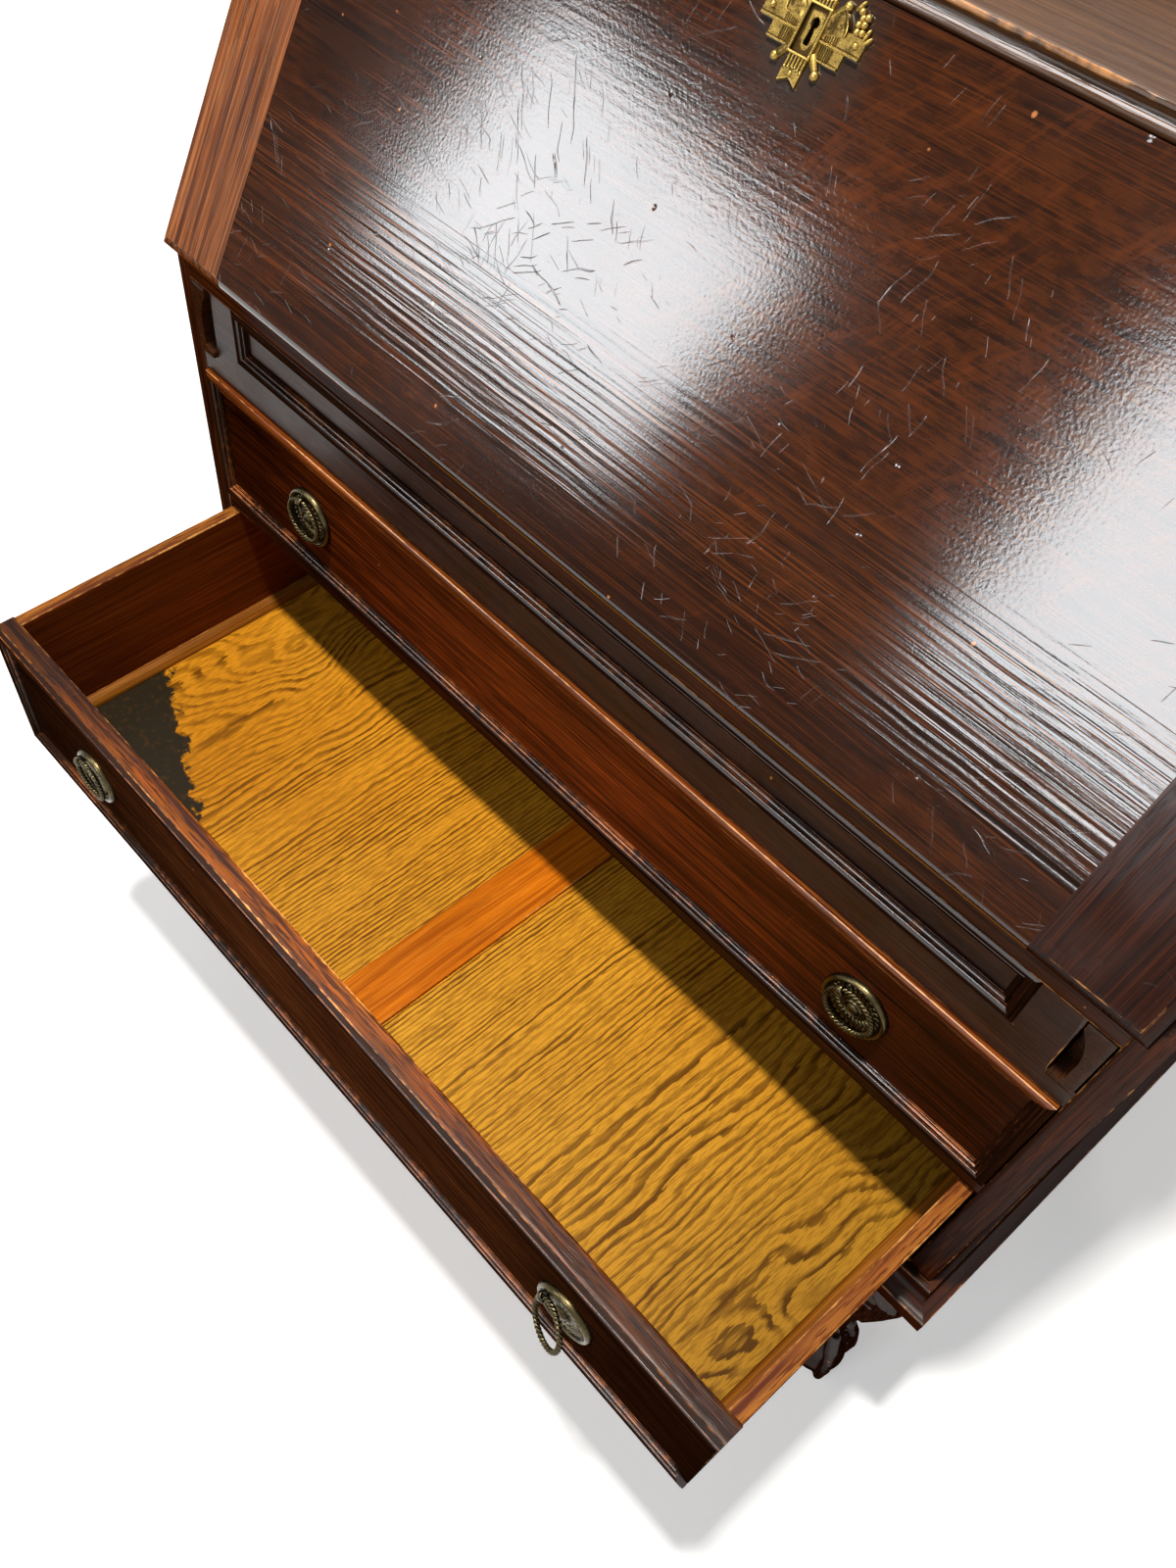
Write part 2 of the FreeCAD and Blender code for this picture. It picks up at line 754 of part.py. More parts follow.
for label, x, y, turn in corners:
    stem = new_body(f"{label}_stem")
    rings = []
    for height, radius, throw in sections:
        rings.append(round_sketch(stem, "XY_Plane", throw, ZERO, radius, lift=height))
    loft = stem.newObject("PartDesign::AdditiveLoft", f"{label}_loft")
    loft.Profile = rings[0]
    loft.Sections = rings[1:]
    block = doc.addObject("Part::Box", f"{label}_block")
    bind(block, "Length", s["block_width"])
    bind(block, "Width", s["block_width"])
    bind(block, "Height", s["block_height"])
    half = s["block_width"] / 2
    block.Placement.Rotation = FreeCAD.Rotation(vector(0, 0, 1), 45)
    bind(block, "Placement.Base.x", ZERO)
    bind(block, "Placement.Base.y", -half * math.sqrt(2))
    bind(block, "Placement.Base.z", block_foot)
    dowel = rod(f"{label}_dowel", s["dowel_radius"], s["dowel_length"] + 5, 0, 0, s["leg_height"] - 5, "z")
    ball = doc.addObject("Part::Sphere", f"{label}_ball")
    bind(ball, "Radius", s["ball_radius"])
    bind(ball, "Placement.Base.x", s["foot_throw"])
    bind(ball, "Placement.Base.z", ball_height)
    claws = []
    for number in range(4):
        claw = doc.addObject("Part::Torus", f"{label}_claw_{number}")
        bind(claw, "Radius1", s["ball_radius"])
        bind(claw, "Radius2", s["claw_radius"])
        claw.Angle3 = 140.0
        claw.Placement.Rotation = FreeCAD.Rotation(vector(0, 0, 1), 90.0 * number) * FreeCAD.Rotation(
            vector(1, 0, 0), 90.0
        ) * FreeCAD.Rotation(vector(0, 0, 1), -46.0)
        bind(claw, "Placement.Base.x", s["foot_throw"])
        bind(claw, "Placement.Base.z", ball_height)
        claws.append(claw)
    joined = fuse(f"{label}_joined", [stem, block, dowel, ball] + claws)
    span = s["block_width"] * 2
    ground = box(f"{label}_ground", -span, span, -span, span, -span, 0, local=True)
    leg = cut(label, joined, [ground])
    place(leg, x, y, 0, (0, 0, 1), turn)
    keep(leg, label)

# Pigeonhole fitting at the back of the writing space: a long shelf over two uprights.
shelf_low = bed_top + s["shelf_height"]
keep(
    box(
        "pigeonhole_shelf",
        -half_inside,
        half_inside,
        s["fitting_front"],
        inside_depth,
        shelf_low,
        shelf_low + s["shelf_thick"],
    ),
    "pigeonhole_shelf",
)
uprights = []
for number, sign in enumerate((-1, 1)):
    middle = s["divider_spacing"] / 2 * sign
    for tier, (low, high) in enumerate(((bed_top, shelf_low), (shelf_low + s["shelf_thick"], top_bottom))):
        uprights.append(
            box(
                f"upright_{number}_{tier}",
                middle - s["divider_board"] / 2,
                middle + s["divider_board"] / 2,
                s["fitting_front"],
                inside_depth,
                low,
                high,
            )
        )
dividers = doc.addObject("Part::Compound", "pigeonhole_dividers")
dividers.Links = uprights
keep(dividers, "pigeonhole_dividers")

# The fall lies along the slope: its own frame has X along the hinge, Y up the slope and Z out of the face.
# Its outer edges carry a nosing, a small fillet over a quarter round, that dies on to a square lip.
half_fall = half_case - s["fall_inset"]
clamp_joint = half_fall - s["clamp_width"]
lip = s["fall_lip"]
nosing = s["fall_nosing"]
fillet_low = s["fall_thick"] - s["fall_fillet"]
round_tall = fillet_low - lip


def on_fall(thing):
    place(thing, 0, hinge_y, bed_top, (1, 0, 0), s["fall_slope"])


def nose_edge(body, plane, at, sign, length):
    """Runs the nosing along one edge of a board of the fall."""
    at = as_size(at)
    edge = sketch(
        body,
        plane,
        [
            (at, lip),
            (at + nosing * sign, fillet_low),
            (at + nosing * sign, s["fall_thick"] + 1),
            (at - sign, s["fall_thick"] + 1),
            (at - sign, lip),
        ],
        arcs={0: ((nosing + round_tall) * 0.55, -sign)},
    )
    pocket(body, edge, length, symmetric=True)


body = new_body("fall_panel_blank")
face = sketch(
    body,
    "XY_Plane",
    [(-clamp_joint, 0), (clamp_joint, 0), (clamp_joint, s["fall_length"]), (-clamp_joint, s["fall_length"])],
)
pad(body, face, s["fall_thick"])
nose_edge(body, "YZ_Plane", 0, 1, 2 * half_fall)
lock_low = s["fall_length"] - s["lock_height"]
key_centre = s["fall_length"] - s["key_drop"]
panel_tools = [
    box(
        "lock_seat",
        -s["lock_width"] / 2 - s["lock_clearance"],
        s["lock_width"] / 2 + s["lock_clearance"],
        lock_low - s["lock_clearance"],
        s["fall_length"] + 1,
        -1,
        s["lock_thick"] + s["lock_clearance"],
        local=True,
    ),
    box(
        "key_slot",
        -s["key_width"] / 2,
        s["key_width"] / 2,
        key_centre - s["key_height"] / 2,
        key_centre + s["key_height"] / 2,
        0,
        s["fall_thick"] + 1,
        local=True,
    ),
]
for side, sign in (("left", -1), ("right", 1)):
    centre = s["hinge_spread"] / 2 * sign
    panel_tools.append(
        box(
            f"{side}_fall_leaf_seat",
            centre - half_hinge,
            centre + half_hinge,
            0,
            s["hinge_leaf"],
            -1,
            s["hinge_thick"],
            local=True,
        )
    )
    panel_tools.append(
        rod(
            f"{side}_fall_barrel_seat",
            s["barrel_radius"] + s["barrel_clearance"],
            s["hinge_length"] + 2 * s["barrel_clearance"],
            centre - half_hinge - s["barrel_clearance"],
            0,
            0,
            "x",
        )
    )
panel = cut("fall_panel", body, panel_tools)
on_fall(panel)
keep(panel, "fall_panel")
for side, sign in (("left", -1), ("right", 1)):
    label = f"fall_{side}_clamp"
    body = new_body(label)
    face = sketch(
        body,
        "XY_Plane",
        [
            (clamp_joint * sign, 0),
            (half_fall * sign, 0),
            (half_fall * sign, s["fall_length"]),
            (clamp_joint * sign, s["fall_length"]),
        ],
    )
    pad(body, face, s["fall_thick"])
    nose_edge(body, "YZ_Plane", 0, 1, 2 * (half_fall + nosing))
    nose_edge(body, "XZ_Plane", half_fall * sign, -sign, 2 * (s["fall_length"] + nosing))
    on_fall(body)
    keep(body, label)

# Brass hinges of the fall: two knuckles on the bed leaf, one between them on the fall leaf, and a pin.
knuckle = s["hinge_length"] / 3
bed_solids = []
fall_solids = []
pins = []
for side, sign in (("left", -1), ("right", 1)):
    centre = s["hinge_spread"] / 2 * sign
    start = centre - half_hinge
    bore = s["pin_radius"] + s["pin_clearance"]
    leaf = box(
        f"{side}_bed_leaf_plate",
        start,
        start + s["hinge_length"],
        hinge_y,
        hinge_y + s["hinge_leaf"],
        bed_top - s["hinge_thick"],
        bed_top,
    )
    middle_gap = rod(
        f"{side}_bed_leaf_gap",
        s["barrel_radius"] + s["barrel_clearance"],
        knuckle + 2 * s["knuckle_gap"],
        start + knuckle - s["knuckle_gap"],
        hinge_y,
        bed_top,
        "x",
        local=False,
    )
    plate = cut(f"{side}_bed_leaf_cut", leaf, [middle_gap])
    first = rod(f"{side}_bed_knuckle_1", s["barrel_radius"], knuckle, start, hinge_y, bed_top, "x", local=False)
    second = rod(
        f"{side}_bed_knuckle_2",
        s["barrel_radius"],
        knuckle,
        start + 2 * knuckle,
        hinge_y,
        bed_top,
        "x",
        local=False,
    )
    hole = rod(
        f"{side}_bed_bore", s["pin_radius"], s["hinge_length"] + 2, start - 1, hinge_y, bed_top, "x", local=False
    )
    bed_solids.append(cut(f"{side}_bed_leaf", fuse(f"{side}_bed_leaf_whole", [plate, first, second]), [hole]))
    leaf = box(
        f"{side}_fall_leaf_plate", start, start + s["hinge_length"], 0, s["hinge_leaf"], 0, s["hinge_thick"], local=True
    )
    gaps = [
        rod(
            f"{side}_fall_leaf_gap_1",
            s["barrel_radius"] + s["barrel_clearance"],
            knuckle + s["knuckle_gap"] + 1,
            start - 1,
            0,
            0,
            "x",
        ),
        rod(
            f"{side}_fall_leaf_gap_2",
            s["barrel_radius"] + s["barrel_clearance"],
            knuckle + s["knuckle_gap"] + 1,
            start + 2 * knuckle - s["knuckle_gap"],
            0,
            0,
            "x",
        ),
    ]
    plate = cut(f"{side}_fall_leaf_cut", leaf, gaps)
    middle = rod(
        f"{side}_fall_knuckle",
        s["barrel_radius"],
        knuckle - 2 * s["knuckle_gap"],
        start + knuckle + s["knuckle_gap"],
        0,
        0,
        "x",
    )
    hole = rod(f"{side}_fall_bore", bore, s["hinge_length"] + 2, start - 1, 0, 0, "x")
    fall_solids.append(cut(f"{side}_fall_leaf", fuse(f"{side}_fall_leaf_whole", [plate, middle]), [hole]))
    pins.append(
        rod(f"{side}_hinge_pin", s["pin_radius"], s["hinge_length"], start, hinge_y, bed_top, "x", local=False)
    )
for label, members, turned in (
    ("hinge_bed_leaves", bed_solids, False),
    ("hinge_fall_leaves", fall_solids, True),
    ("hinge_pins", pins, False),
):
    group = doc.addObject("Part::Compound", label)
    group.Links = members
    if turned:
        on_fall(group)
    keep(group, label)

# Lock: a brass case let into the inner face at the top edge, with a sliding bolt.
lock = box(
    "lock_blank",
    -s["lock_width"] / 2,
    s["lock_width"] / 2,
    lock_low,
    s["fall_length"],
    0,
    s["lock_thick"],
    local=True,
)
channel = box(
    "bolt_channel",
    -s["bolt_width"] / 2 - s["bolt_clearance"],
    s["bolt_width"] / 2 + s["bolt_clearance"],
    s["fall_length"] - s["bolt_length"] - 1,
    s["fall_length"] + 1,
    s["bolt_offset"] - s["bolt_clearance"],
    s["bolt_offset"] + s["bolt_thick"] + s["bolt_clearance"],
    local=True,
)
lock_case = cut("lock_case", lock, [channel])
on_fall(lock_case)
keep(lock_case, "lock_case")
bolt = doc.addObject("Part::Box", "lock_bolt")
bind(bolt, "Length", s["bolt_width"])
bind(bolt, "Width", s["bolt_length"])
bind(bolt, "Height", s["bolt_thick"])
bolt_s = s["fall_length"] - s["bolt_length"]
bolt_n = s["bolt_offset"]
place(
    bolt,
    -s["bolt_width"] / 2,
    hinge_y + bolt_s * slope_cosine - bolt_n * slope_sine,
    bed_top + bolt_s * slope_sine + bolt_n * slope_cosine,
    (1, 0, 0),
    s["fall_slope"],
)
keep(bolt, "lock_bolt")

# Escutcheon: a cast plate of crossed rods and fluted ribbon tails, spread behind a raised keyhole frame.
# The upright ribbon ends in a swallow tail at the foot, and the plate is pinned to the face of the fall.


def spoke(name, width, reach, thick, angle):
    """A flat bar through the middle of the plate, turned about the keyhole."""
    bar = doc.addObject("Part::Box", name)
    bind(bar, "Length", width)
    bind(bar, "Width", 2 * reach)
    bind(bar, "Height", thick)
    bar.setExpression(
        "Placement",
        f"placement(vector(0; 0; 0); rotation(vector(0; 0; 1); {as_size(angle).text}))"
        f" * placement(vector({(-width / 2).text}; {(-reach).text}; 0); rotation(vector(1; 0; 0); 0))",
    )
    return bar


plate_w = s["escutcheon_half_width"]
plate_h = s["escutcheon_half_height"]
plate_t = s["escutcheon_thick"]
ribbon = s["escutcheon_ribbon"]
rod_w = s["escutcheon_rod"]
rise = s["escutcheon_rise"]
spokes = [box("escutcheon_tail", -ribbon / 2, ribbon / 2, -plate_h, rise, 0, plate_t, local=True)]
for number, (angle, width, reach) in enumerate(
    (
        (s["rod_angle"], rod_w, plate_h * 0.9),
        (s["ribbon_angle"], ribbon * 0.9, plate_w * 0.83),
        (s["leaf_angle"], ribbon * 0.8, plate_w),
    )
):
    spokes.append(spoke(f"escutcheon_left_{number}", width, reach, plate_t, -angle))
    spokes.append(spoke(f"escutcheon_right_{number}", width, reach, plate_t, angle))
frame_w = s["escutcheon_frame_width"] / 2
frame_h = s["escutcheon_frame_height"] / 2
spokes.append(
    box("escutcheon_frame", -frame_w, frame_w, -frame_h, frame_h, 0, s["escutcheon_frame_thick"], local=True)
)
key_w = s["key_width"] / 2
key_h = s["key_height"] / 2
key_hole = box("escutcheon_key", -key_w, key_w, -key_h, key_h, -1, s["escutcheon_frame_thick"] + 1, local=True)
notches = [key_hole]
for number, middle in enumerate((-plate_h, rise)):
    notch = doc.addObject("Part::Box", f"escutcheon_notch_{number}")
    bind(notch, "Length", ribbon * 0.5)
    bind(notch, "Width", ribbon * 0.5)
    bind(notch, "Height", plate_t + 2)
    notch.setExpression(
        "Placement",
        f"placement(vector(0; {middle.text}; 0 - 1); rotation(vector(0; 0; 1); 45))"
        f" * placement(vector({(-ribbon * 0.25).text}; {(-ribbon * 0.25).text}; 0); rotation(vector(1; 0; 0); 0))",
    )
    notches.append(notch)
escutcheon = cut("fall_escutcheon", fuse("escutcheon_cast", spokes), notches)
place(
    escutcheon,
    0,
    hinge_y + key_centre * slope_cosine - s["fall_thick"] * slope_sine,
    bed_top + key_centre * slope_sine + s["fall_thick"] * slope_cosine,
    (1, 0, 0),
    s["fall_slope"],
)
keep(escutcheon, "fall_escutcheon")

# Lopers: oak arms that draw out under the fall. A hollow in the inner cheek of the nose gives the finger a hold.
# A peg near the tail runs in the guide's groove.
for side, sign in (("left", -1), ("right", 1)):
    label = f"{side}_loper"
    inner = (notch_inner + s["loper_gap"]) * sign
    outer = (half_inside - s["loper_gap"]) * sign
    low_x, high_x = (inner, outer) if sign > 0 else (outer, inner)
    nose = -s["loper_proud"]
    blank = box(f"{side}_loper_blank", low_x, high_x, nose, nose + s["loper_length"], loper_bottom, loper_top)
    peg_far = inner - s["guide_thick"] / 2 * sign + s["loper_gap"] * 0.5 * sign
    peg_from, peg_to = (peg_far, inner + 3) if sign > 0 else (inner - 3, peg_far)
    peg = rod(
        f"{side}_loper_peg", s["peg_radius"], peg_to - peg_from, peg_from, peg_rest, peg_height, "x", local=False
    )
    scoop = new_body(f"{side}_loper_hollow")
    depth = s["loper_scoop"]
    foot = loper_bottom + 5
    crown = loper_top - 6
    outline = sketch(
        scoop,
        "XZ_Plane",
        [
            (inner - sign, foot),
            (inner + (depth - 3) * sign, foot),
            (inner + depth * sign, foot + 3),
            (inner + depth * sign, foot + 14),
            (inner, crown),
            (inner - sign, crown),
        ],
        arcs={3: (crown - foot, sign)},
    )
    pad(scoop, outline, s["loper_scoop_depth"] + 2, reverse=True)
    place(scoop, 0, nose - 2, 0)
    whole = fuse(f"{side}_loper_whole", [blank, peg])
    keep(cut(label, whole, [scoop]), label)

# Drawer boxes. The front is an oak board with mitred strips planted on its face and two studs bored for the pulls.
# The sides butt behind it, the back stands between them on the bottom, and the bottom lies between the sides.


def drawer(name, low, tall, shift, missing_right, split):
    slide = -as_size(shift)
    high = low + tall
    pull_height = (low + high) / 2 - s["pull_drop"]
    board = box(
        f"{name}_front_blank", -half_front, half_front, slide + s["front_setback"], slide + front_back, low, high
    )
    studs = []
    for side, sign in (("left", -1), ("right", 1)):
        studs.append(
            rod(
                f"{name}_{side}_stud_hole",
                s["stud_radius"] + s["stud_clearance"],
                s["stud_length"] + s["stud_clearance"],
                s["pull_spacing"] / 2 * sign,
                slide + s["front_setback"],
                pull_height,
                "y",
                local=False,
            )
        )
    keep(cut(f"{name}_front", board, studs), f"{name}_front")
    start = slide + front_back
    finish = slide + box_end
    inner = half_box - s["drawer_side_thick"]
    keep(box(f"{name}_left_side", -half_box, -inner, start, finish, low, high), f"{name}_left_side")
    keep(box(f"{name}_right_side", inner, half_box, start, finish, low, high), f"{name}_right_side")
    floor_low = low + s["drawer_bottom_lift"]
    floor_high = floor_low + s["drawer_bottom_thick"]
    back_start = finish - s["drawer_back_thick"]
    back = box(f"{name}_back_blank", -inner, inner, back_start, finish, floor_high, high - s["drawer_back_step"])
    if split:
        half_muntin = s["muntin_width"] / 2
        keep(
            box(f"{name}_bottom_left", -inner, -half_muntin, start, finish, floor_low, floor_high),
            f"{name}_bottom_left",
        )
        keep(
            box(f"{name}_bottom_right", half_muntin, inner, start, finish, floor_low, floor_high),
            f"{name}_bottom_right",
        )
        muntin_low = (floor_low + floor_high) / 2 - s["muntin_thick"] / 2
        muntin_high = muntin_low + s["muntin_thick"]
        keep(
            box(f"{name}_muntin", -half_muntin, half_muntin, start, finish, muntin_low, muntin_high),
            f"{name}_muntin",
        )
        over = box(
            f"{name}_back_notch", -half_muntin, half_muntin, back_start, finish, floor_high, muntin_high
        )
        keep(cut(f"{name}_back", back, [over]), f"{name}_back")
        beads = []
        for side, sign in (("left", -1), ("right", 1)):
            body = new_body(f"{name}_{side}_bead")
            wall = inner * sign
            radius = s["bead_radius"]
            quarter = sketch(
                body,
                "XZ_Plane",
                [(wall, floor_high), (wall - radius * sign, floor_high), (wall, floor_high + radius)],
                arcs={1: (radius, -sign)},
            )
            pad(body, quarter, back_start - start, reverse=True)
            place(body, 0, start, 0)
            beads.append(body)
        group = doc.addObject("Part::Compound", f"{name}_beads")
        group.Links = beads
        keep(group, f"{name}_beads")
    else:
        keep(box(f"{name}_bottom", -inner, inner, start, finish, floor_low, floor_high), f"{name}_bottom")
        keep(back, f"{name}_back")
    face = slide + s["front_setback"]
    middle = (low + high) / 2
    mitred_strip(f"{name}_moulding_bottom", 2 * half_front, 0, face, low, 0)
    mitred_strip(f"{name}_moulding_top", 2 * half_front, 0, face, high, 180)
    mitred_strip(f"{name}_moulding_left", tall, -half_front, face, middle, 90)
    if not missing_right:
        mitred_strip(f"{name}_moulding_right", tall, half_front, face, middle, -90)
    return face, pull_height


# Pulls: a turned plate with a raised rim and boss, a stud into the drawer front, and a lug that the ring hangs from.
# The plates have worked round on their studs, each by its own angle.


def pull_plate(name, x, face, height, turn):
    body = new_body(f"{name}_turning")
    radius = s["plate_radius"]
    rim = radius - s["rim_width"]
    profile = sketch(
        body,
        "XZ_Plane",
        [
            (0, -s["stud_length"]),
            (s["stud_radius"], -s["stud_length"]),
            (s["stud_radius"], 0),
            (radius, 0),
            (radius - 1.2, s["rim_height"]),
            (rim, s["rim_height"]),
            (rim - 1.5, s["plate_thick"]),
            (s["boss_radius"], s["plate_thick"]),
            (s["boss_radius"] - 2.5, s["boss_height"]),
            (0, s["boss_height"]),
        ],
    )
    turned = body.newObject("PartDesign::Revolution", f"{name}_revolution")
    turned.Profile = profile
    for feature in body.Origin.OriginFeatures:
        if feature.Role == "Z_Axis":
            turned.ReferenceAxis = (feature, [""])
    turned.Angle = 360.0
    half_lug = s["lug_width"] / 2
    hole = s["ring_wire"] + s["lug_clearance"]
    reach = hole + s["lug_wall"]
    lug = box(
        f"{name}_lug",
        -half_lug,
        half_lug,
        s["ring_radius"] - reach,
        s["ring_radius"] + reach,
        s["plate_thick"] / 2,
        s["ring_standoff"] + reach,
        local=True,
    )
    eye = doc.addObject("Part::Torus", f"{name}_eye")
    bind(eye, "Radius1", s["ring_radius"])
    bind(eye, "Radius2", hole)
    bind(eye, "Placement.Base.z", s["ring_standoff"])
    plate = cut(f"{name}_plate_cut", fuse(f"{name}_plate_whole", [body, lug]), [eye])
    turn = as_size(turn)
    stand = FreeCAD.Rotation(vector(1, 0, 0), 90)
    plate.Placement.Rotation = FreeCAD.Rotation(vector(0, 1, 0), -turn.number) * stand
    text = (
        f"placement(vector({as_size(x).text}; {(as_size(face) + front_plane).text}; {as_size(height).text}); "
        f"rotation(vector(0; 1; 0); 0 - {turn.text}) * rotation(vector(1; 0; 0); 90))"
    )
    plate.setExpression("Placement", text)
    return plate


def pull_ring(name, x, face, height, turn, lift):
    """The ring, made about its own pivot line with its body hanging along -Y, then lifted and stood on the plate."""
    ring = doc.addObject("Part::Torus", name)
    bind(ring, "Radius1", s["ring_radius"])
    bind(ring, "Radius2", s["ring_wire"])
    turn = as_size(turn)
    lift = as_size(lift)
    text = (
        f"placement(vector({as_size(x).text}; {(as_size(face) + front_plane).text}; {as_size(height).text}); "
        f"rotation(vector(0; 1; 0); 0 - {turn.text}) * rotation(vector(1; 0; 0); 90))"
        f" * placement(vector(0; {s['ring_radius'].text}; {s['ring_standoff'].text});"
        f" rotation(vector(1; 0; 0); 0 - {lift.text}))"
        f" * placement(vector(0; 0 - {s['ring_radius'].text}; 0); rotation(vector(1; 0; 0); 0))"
    )
    ring.setExpression("Placement", text)
    return keep(ring, name)


for name, low, tall, shift, missing_right, split in (
    ("upper_drawer", upper_bottom, s["upper_front_height"], ZERO, False, False),
    ("lower_drawer", lower_bottom, s["lower_front_height"], s["drawer_open"], True, True),
):
    face, height = drawer(name, low, tall, shift, missing_right, split)
    plates = []
    tier = name.split("_")[0]
    for side, sign in (("left", -1), ("right", 1)):
        x = s["pull_spacing"] / 2 * sign
        turn = s[f"{tier}_{side}_turn"]
        lifted = s["ring_lift"] if (tier, side) == ("lower", "right") else ZERO
        plates.append(pull_plate(f"{tier}_{side}", x, face, height, turn))
        pull_ring(f"{tier}_{side}_ring", x, face, height, turn, lifted)
    group = doc.addObject("Part::Compound", f"{name}_pull_plates")
    group.Links = plates
    keep(group, f"{name}_pull_plates")

doc.recompute()

# Every object is checked before anything is written.
faults = []
for thing in doc.Objects:
    if "Invalid" in thing.State or "Error" in thing.State:
        faults.append(f"{thing.Name} {thing.State}")
for thing in nodes:
    shape = thing.Shape
    if shape.isNull() or not shape.isValid() or not shape.Solids:
        faults.append(f"{thing.Label} has no valid shape")
if len({thing.Label for thing in nodes}) != len(nodes):
    faults.append("two pieces have one name")
if faults:
    raise RuntimeError("; ".join(faults))
os.makedirs("parts", exist_ok=True)
for thing in nodes:
    thing.Shape.exportStep(f"parts/{thing.Label}.step")
print(len(nodes), "pieces written")
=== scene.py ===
import json
import math

import bmesh
import bpy
from mathutils import Matrix, Vector


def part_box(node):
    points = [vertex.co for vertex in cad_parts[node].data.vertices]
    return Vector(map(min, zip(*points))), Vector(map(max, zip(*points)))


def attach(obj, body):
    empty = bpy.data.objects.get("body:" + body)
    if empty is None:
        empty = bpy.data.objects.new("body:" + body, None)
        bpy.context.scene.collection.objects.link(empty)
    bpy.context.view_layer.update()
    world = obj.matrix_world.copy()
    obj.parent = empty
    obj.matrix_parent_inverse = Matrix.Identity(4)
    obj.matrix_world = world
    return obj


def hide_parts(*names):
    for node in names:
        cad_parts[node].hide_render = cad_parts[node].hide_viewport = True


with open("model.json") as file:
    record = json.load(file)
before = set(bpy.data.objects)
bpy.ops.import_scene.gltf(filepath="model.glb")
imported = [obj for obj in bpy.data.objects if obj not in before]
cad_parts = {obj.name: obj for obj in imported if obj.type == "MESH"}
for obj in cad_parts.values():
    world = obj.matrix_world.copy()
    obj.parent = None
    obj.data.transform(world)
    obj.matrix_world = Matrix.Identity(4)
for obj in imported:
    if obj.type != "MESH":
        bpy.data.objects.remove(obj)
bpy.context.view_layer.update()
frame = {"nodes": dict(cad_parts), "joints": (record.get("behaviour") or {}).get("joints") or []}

# Carcase: two solid oak ends joined by the bottom, the divider between the drawers and the back.
# The boards are fumed and stained almost black-brown, polished, and rubbed pale along every arris.


def stain(red, green, blue):
    """A colour as it looks on the wood, given in display values from 0 to 255."""
    linear = []
    for value in (red, green, blue):
        share = value / 255
        linear.append(share / 12.92 if share <= 0.04045 else ((share + 0.055) / 1.055) ** 2.4)
    return (*linear, 1.0)


def fill(node, **settings):
    """Names that start with in_ set or link that socket of a node; other names set the node's own fields."""
    for key, value in settings.items():
        if not key.startswith("in_"):
            setattr(node, key, value)
            continue
        name = key[3:]
        socket = node.inputs[int(name)] if name.isdigit() else node.inputs[name.replace("_", " ")]
        if isinstance(value, bpy.types.NodeSocket):
            node.id_data.links.new(value, socket)
        else:
            socket.default_value = value
    return node


def put(tree, kind, **settings):
    return fill(tree.nodes.new(kind), **settings)


def sums(operation, first, second=0.0, third=0.0):
    """A calculation on values, in the tree of whichever of the first two is a socket."""
    home = first if isinstance(first, bpy.types.NodeSocket) else second
    node = put(home.id_data, "ShaderNodeMath", operation=operation, in_0=first, in_1=second, in_2=third)
    return node.outputs[0]


def times(first, second):
    return sums("MULTIPLY", first, second)


def plus(first, second):
    return sums("ADD", first, second)


def minus(first, second):
    return sums("SUBTRACT", first, second)


def most(first, second):
    return sums("MAXIMUM", first, second)


def ramped(value, low, high, start=0.0, end=1.0):
    tree = value.id_data
    return put(tree, "ShaderNodeMapRange", in_0=value, in_1=low, in_2=high, in_3=start, in_4=end).outputs[0]


def blended(share, first, second):
    tree = share.id_data
    return put(tree, "ShaderNodeMix", data_type="RGBA", in_0=share, in_6=first, in_7=second).outputs[2]


def clouds(vector, scale=1.0, detail=2.0, rough=0.5):
    node = put(vector.id_data, "ShaderNodeTexNoise", in_Vector=vector, in_Scale=scale, in_Detail=detail,
               in_Roughness=rough)
    return node.outputs[0]


def vectors(operation, first, second=(0.0, 0.0, 0.0), scale=1.0, output=0):
    """A calculation on vectors or colours; lengths and distances come out of the second output."""
    node = put(first.id_data, "ShaderNodeVectorMath", operation=operation, in_0=first, in_1=second,
               in_3=scale)
    return node.outputs[output]


def stretched(vector, along, across, through):
    return vectors("MULTIPLY", vector, (along, across, through))


def streaks(vector, along, across, through, detail=2.0, rough=0.5):
    return clouds(stretched(vector, along, across, through), 1.0, detail, rough)


def swung(vector, rotation, location=(0.0, 0.0, 0.0)):
    node = put(vector.id_data, "ShaderNodeMapping", in_Vector=vector, in_Location=location,
               in_Rotation=rotation)
    return node.outputs[0]


def bumped(height, strength, depth):
    tree = height.id_data
    return put(tree, "ShaderNodeBump", in_Strength=strength, in_Distance=depth, in_Height=height).outputs[0]


def joined(tree, x=0.0, y=0.0, z=0.0):
    return put(tree, "ShaderNodeCombineXYZ", in_0=x, in_1=y, in_2=z).outputs[0]


def split(vector):
    return put(vector.id_data, "ShaderNodeSeparateXYZ", in_0=vector).outputs


def own_place(tree):
    return put(tree, "ShaderNodeTexCoord").outputs["Object"]


def facing_up(tree):
    """How far a face looks upwards, from minus one to one."""
    return split(put(tree, "ShaderNodeNewGeometry").outputs["Normal"])[2]


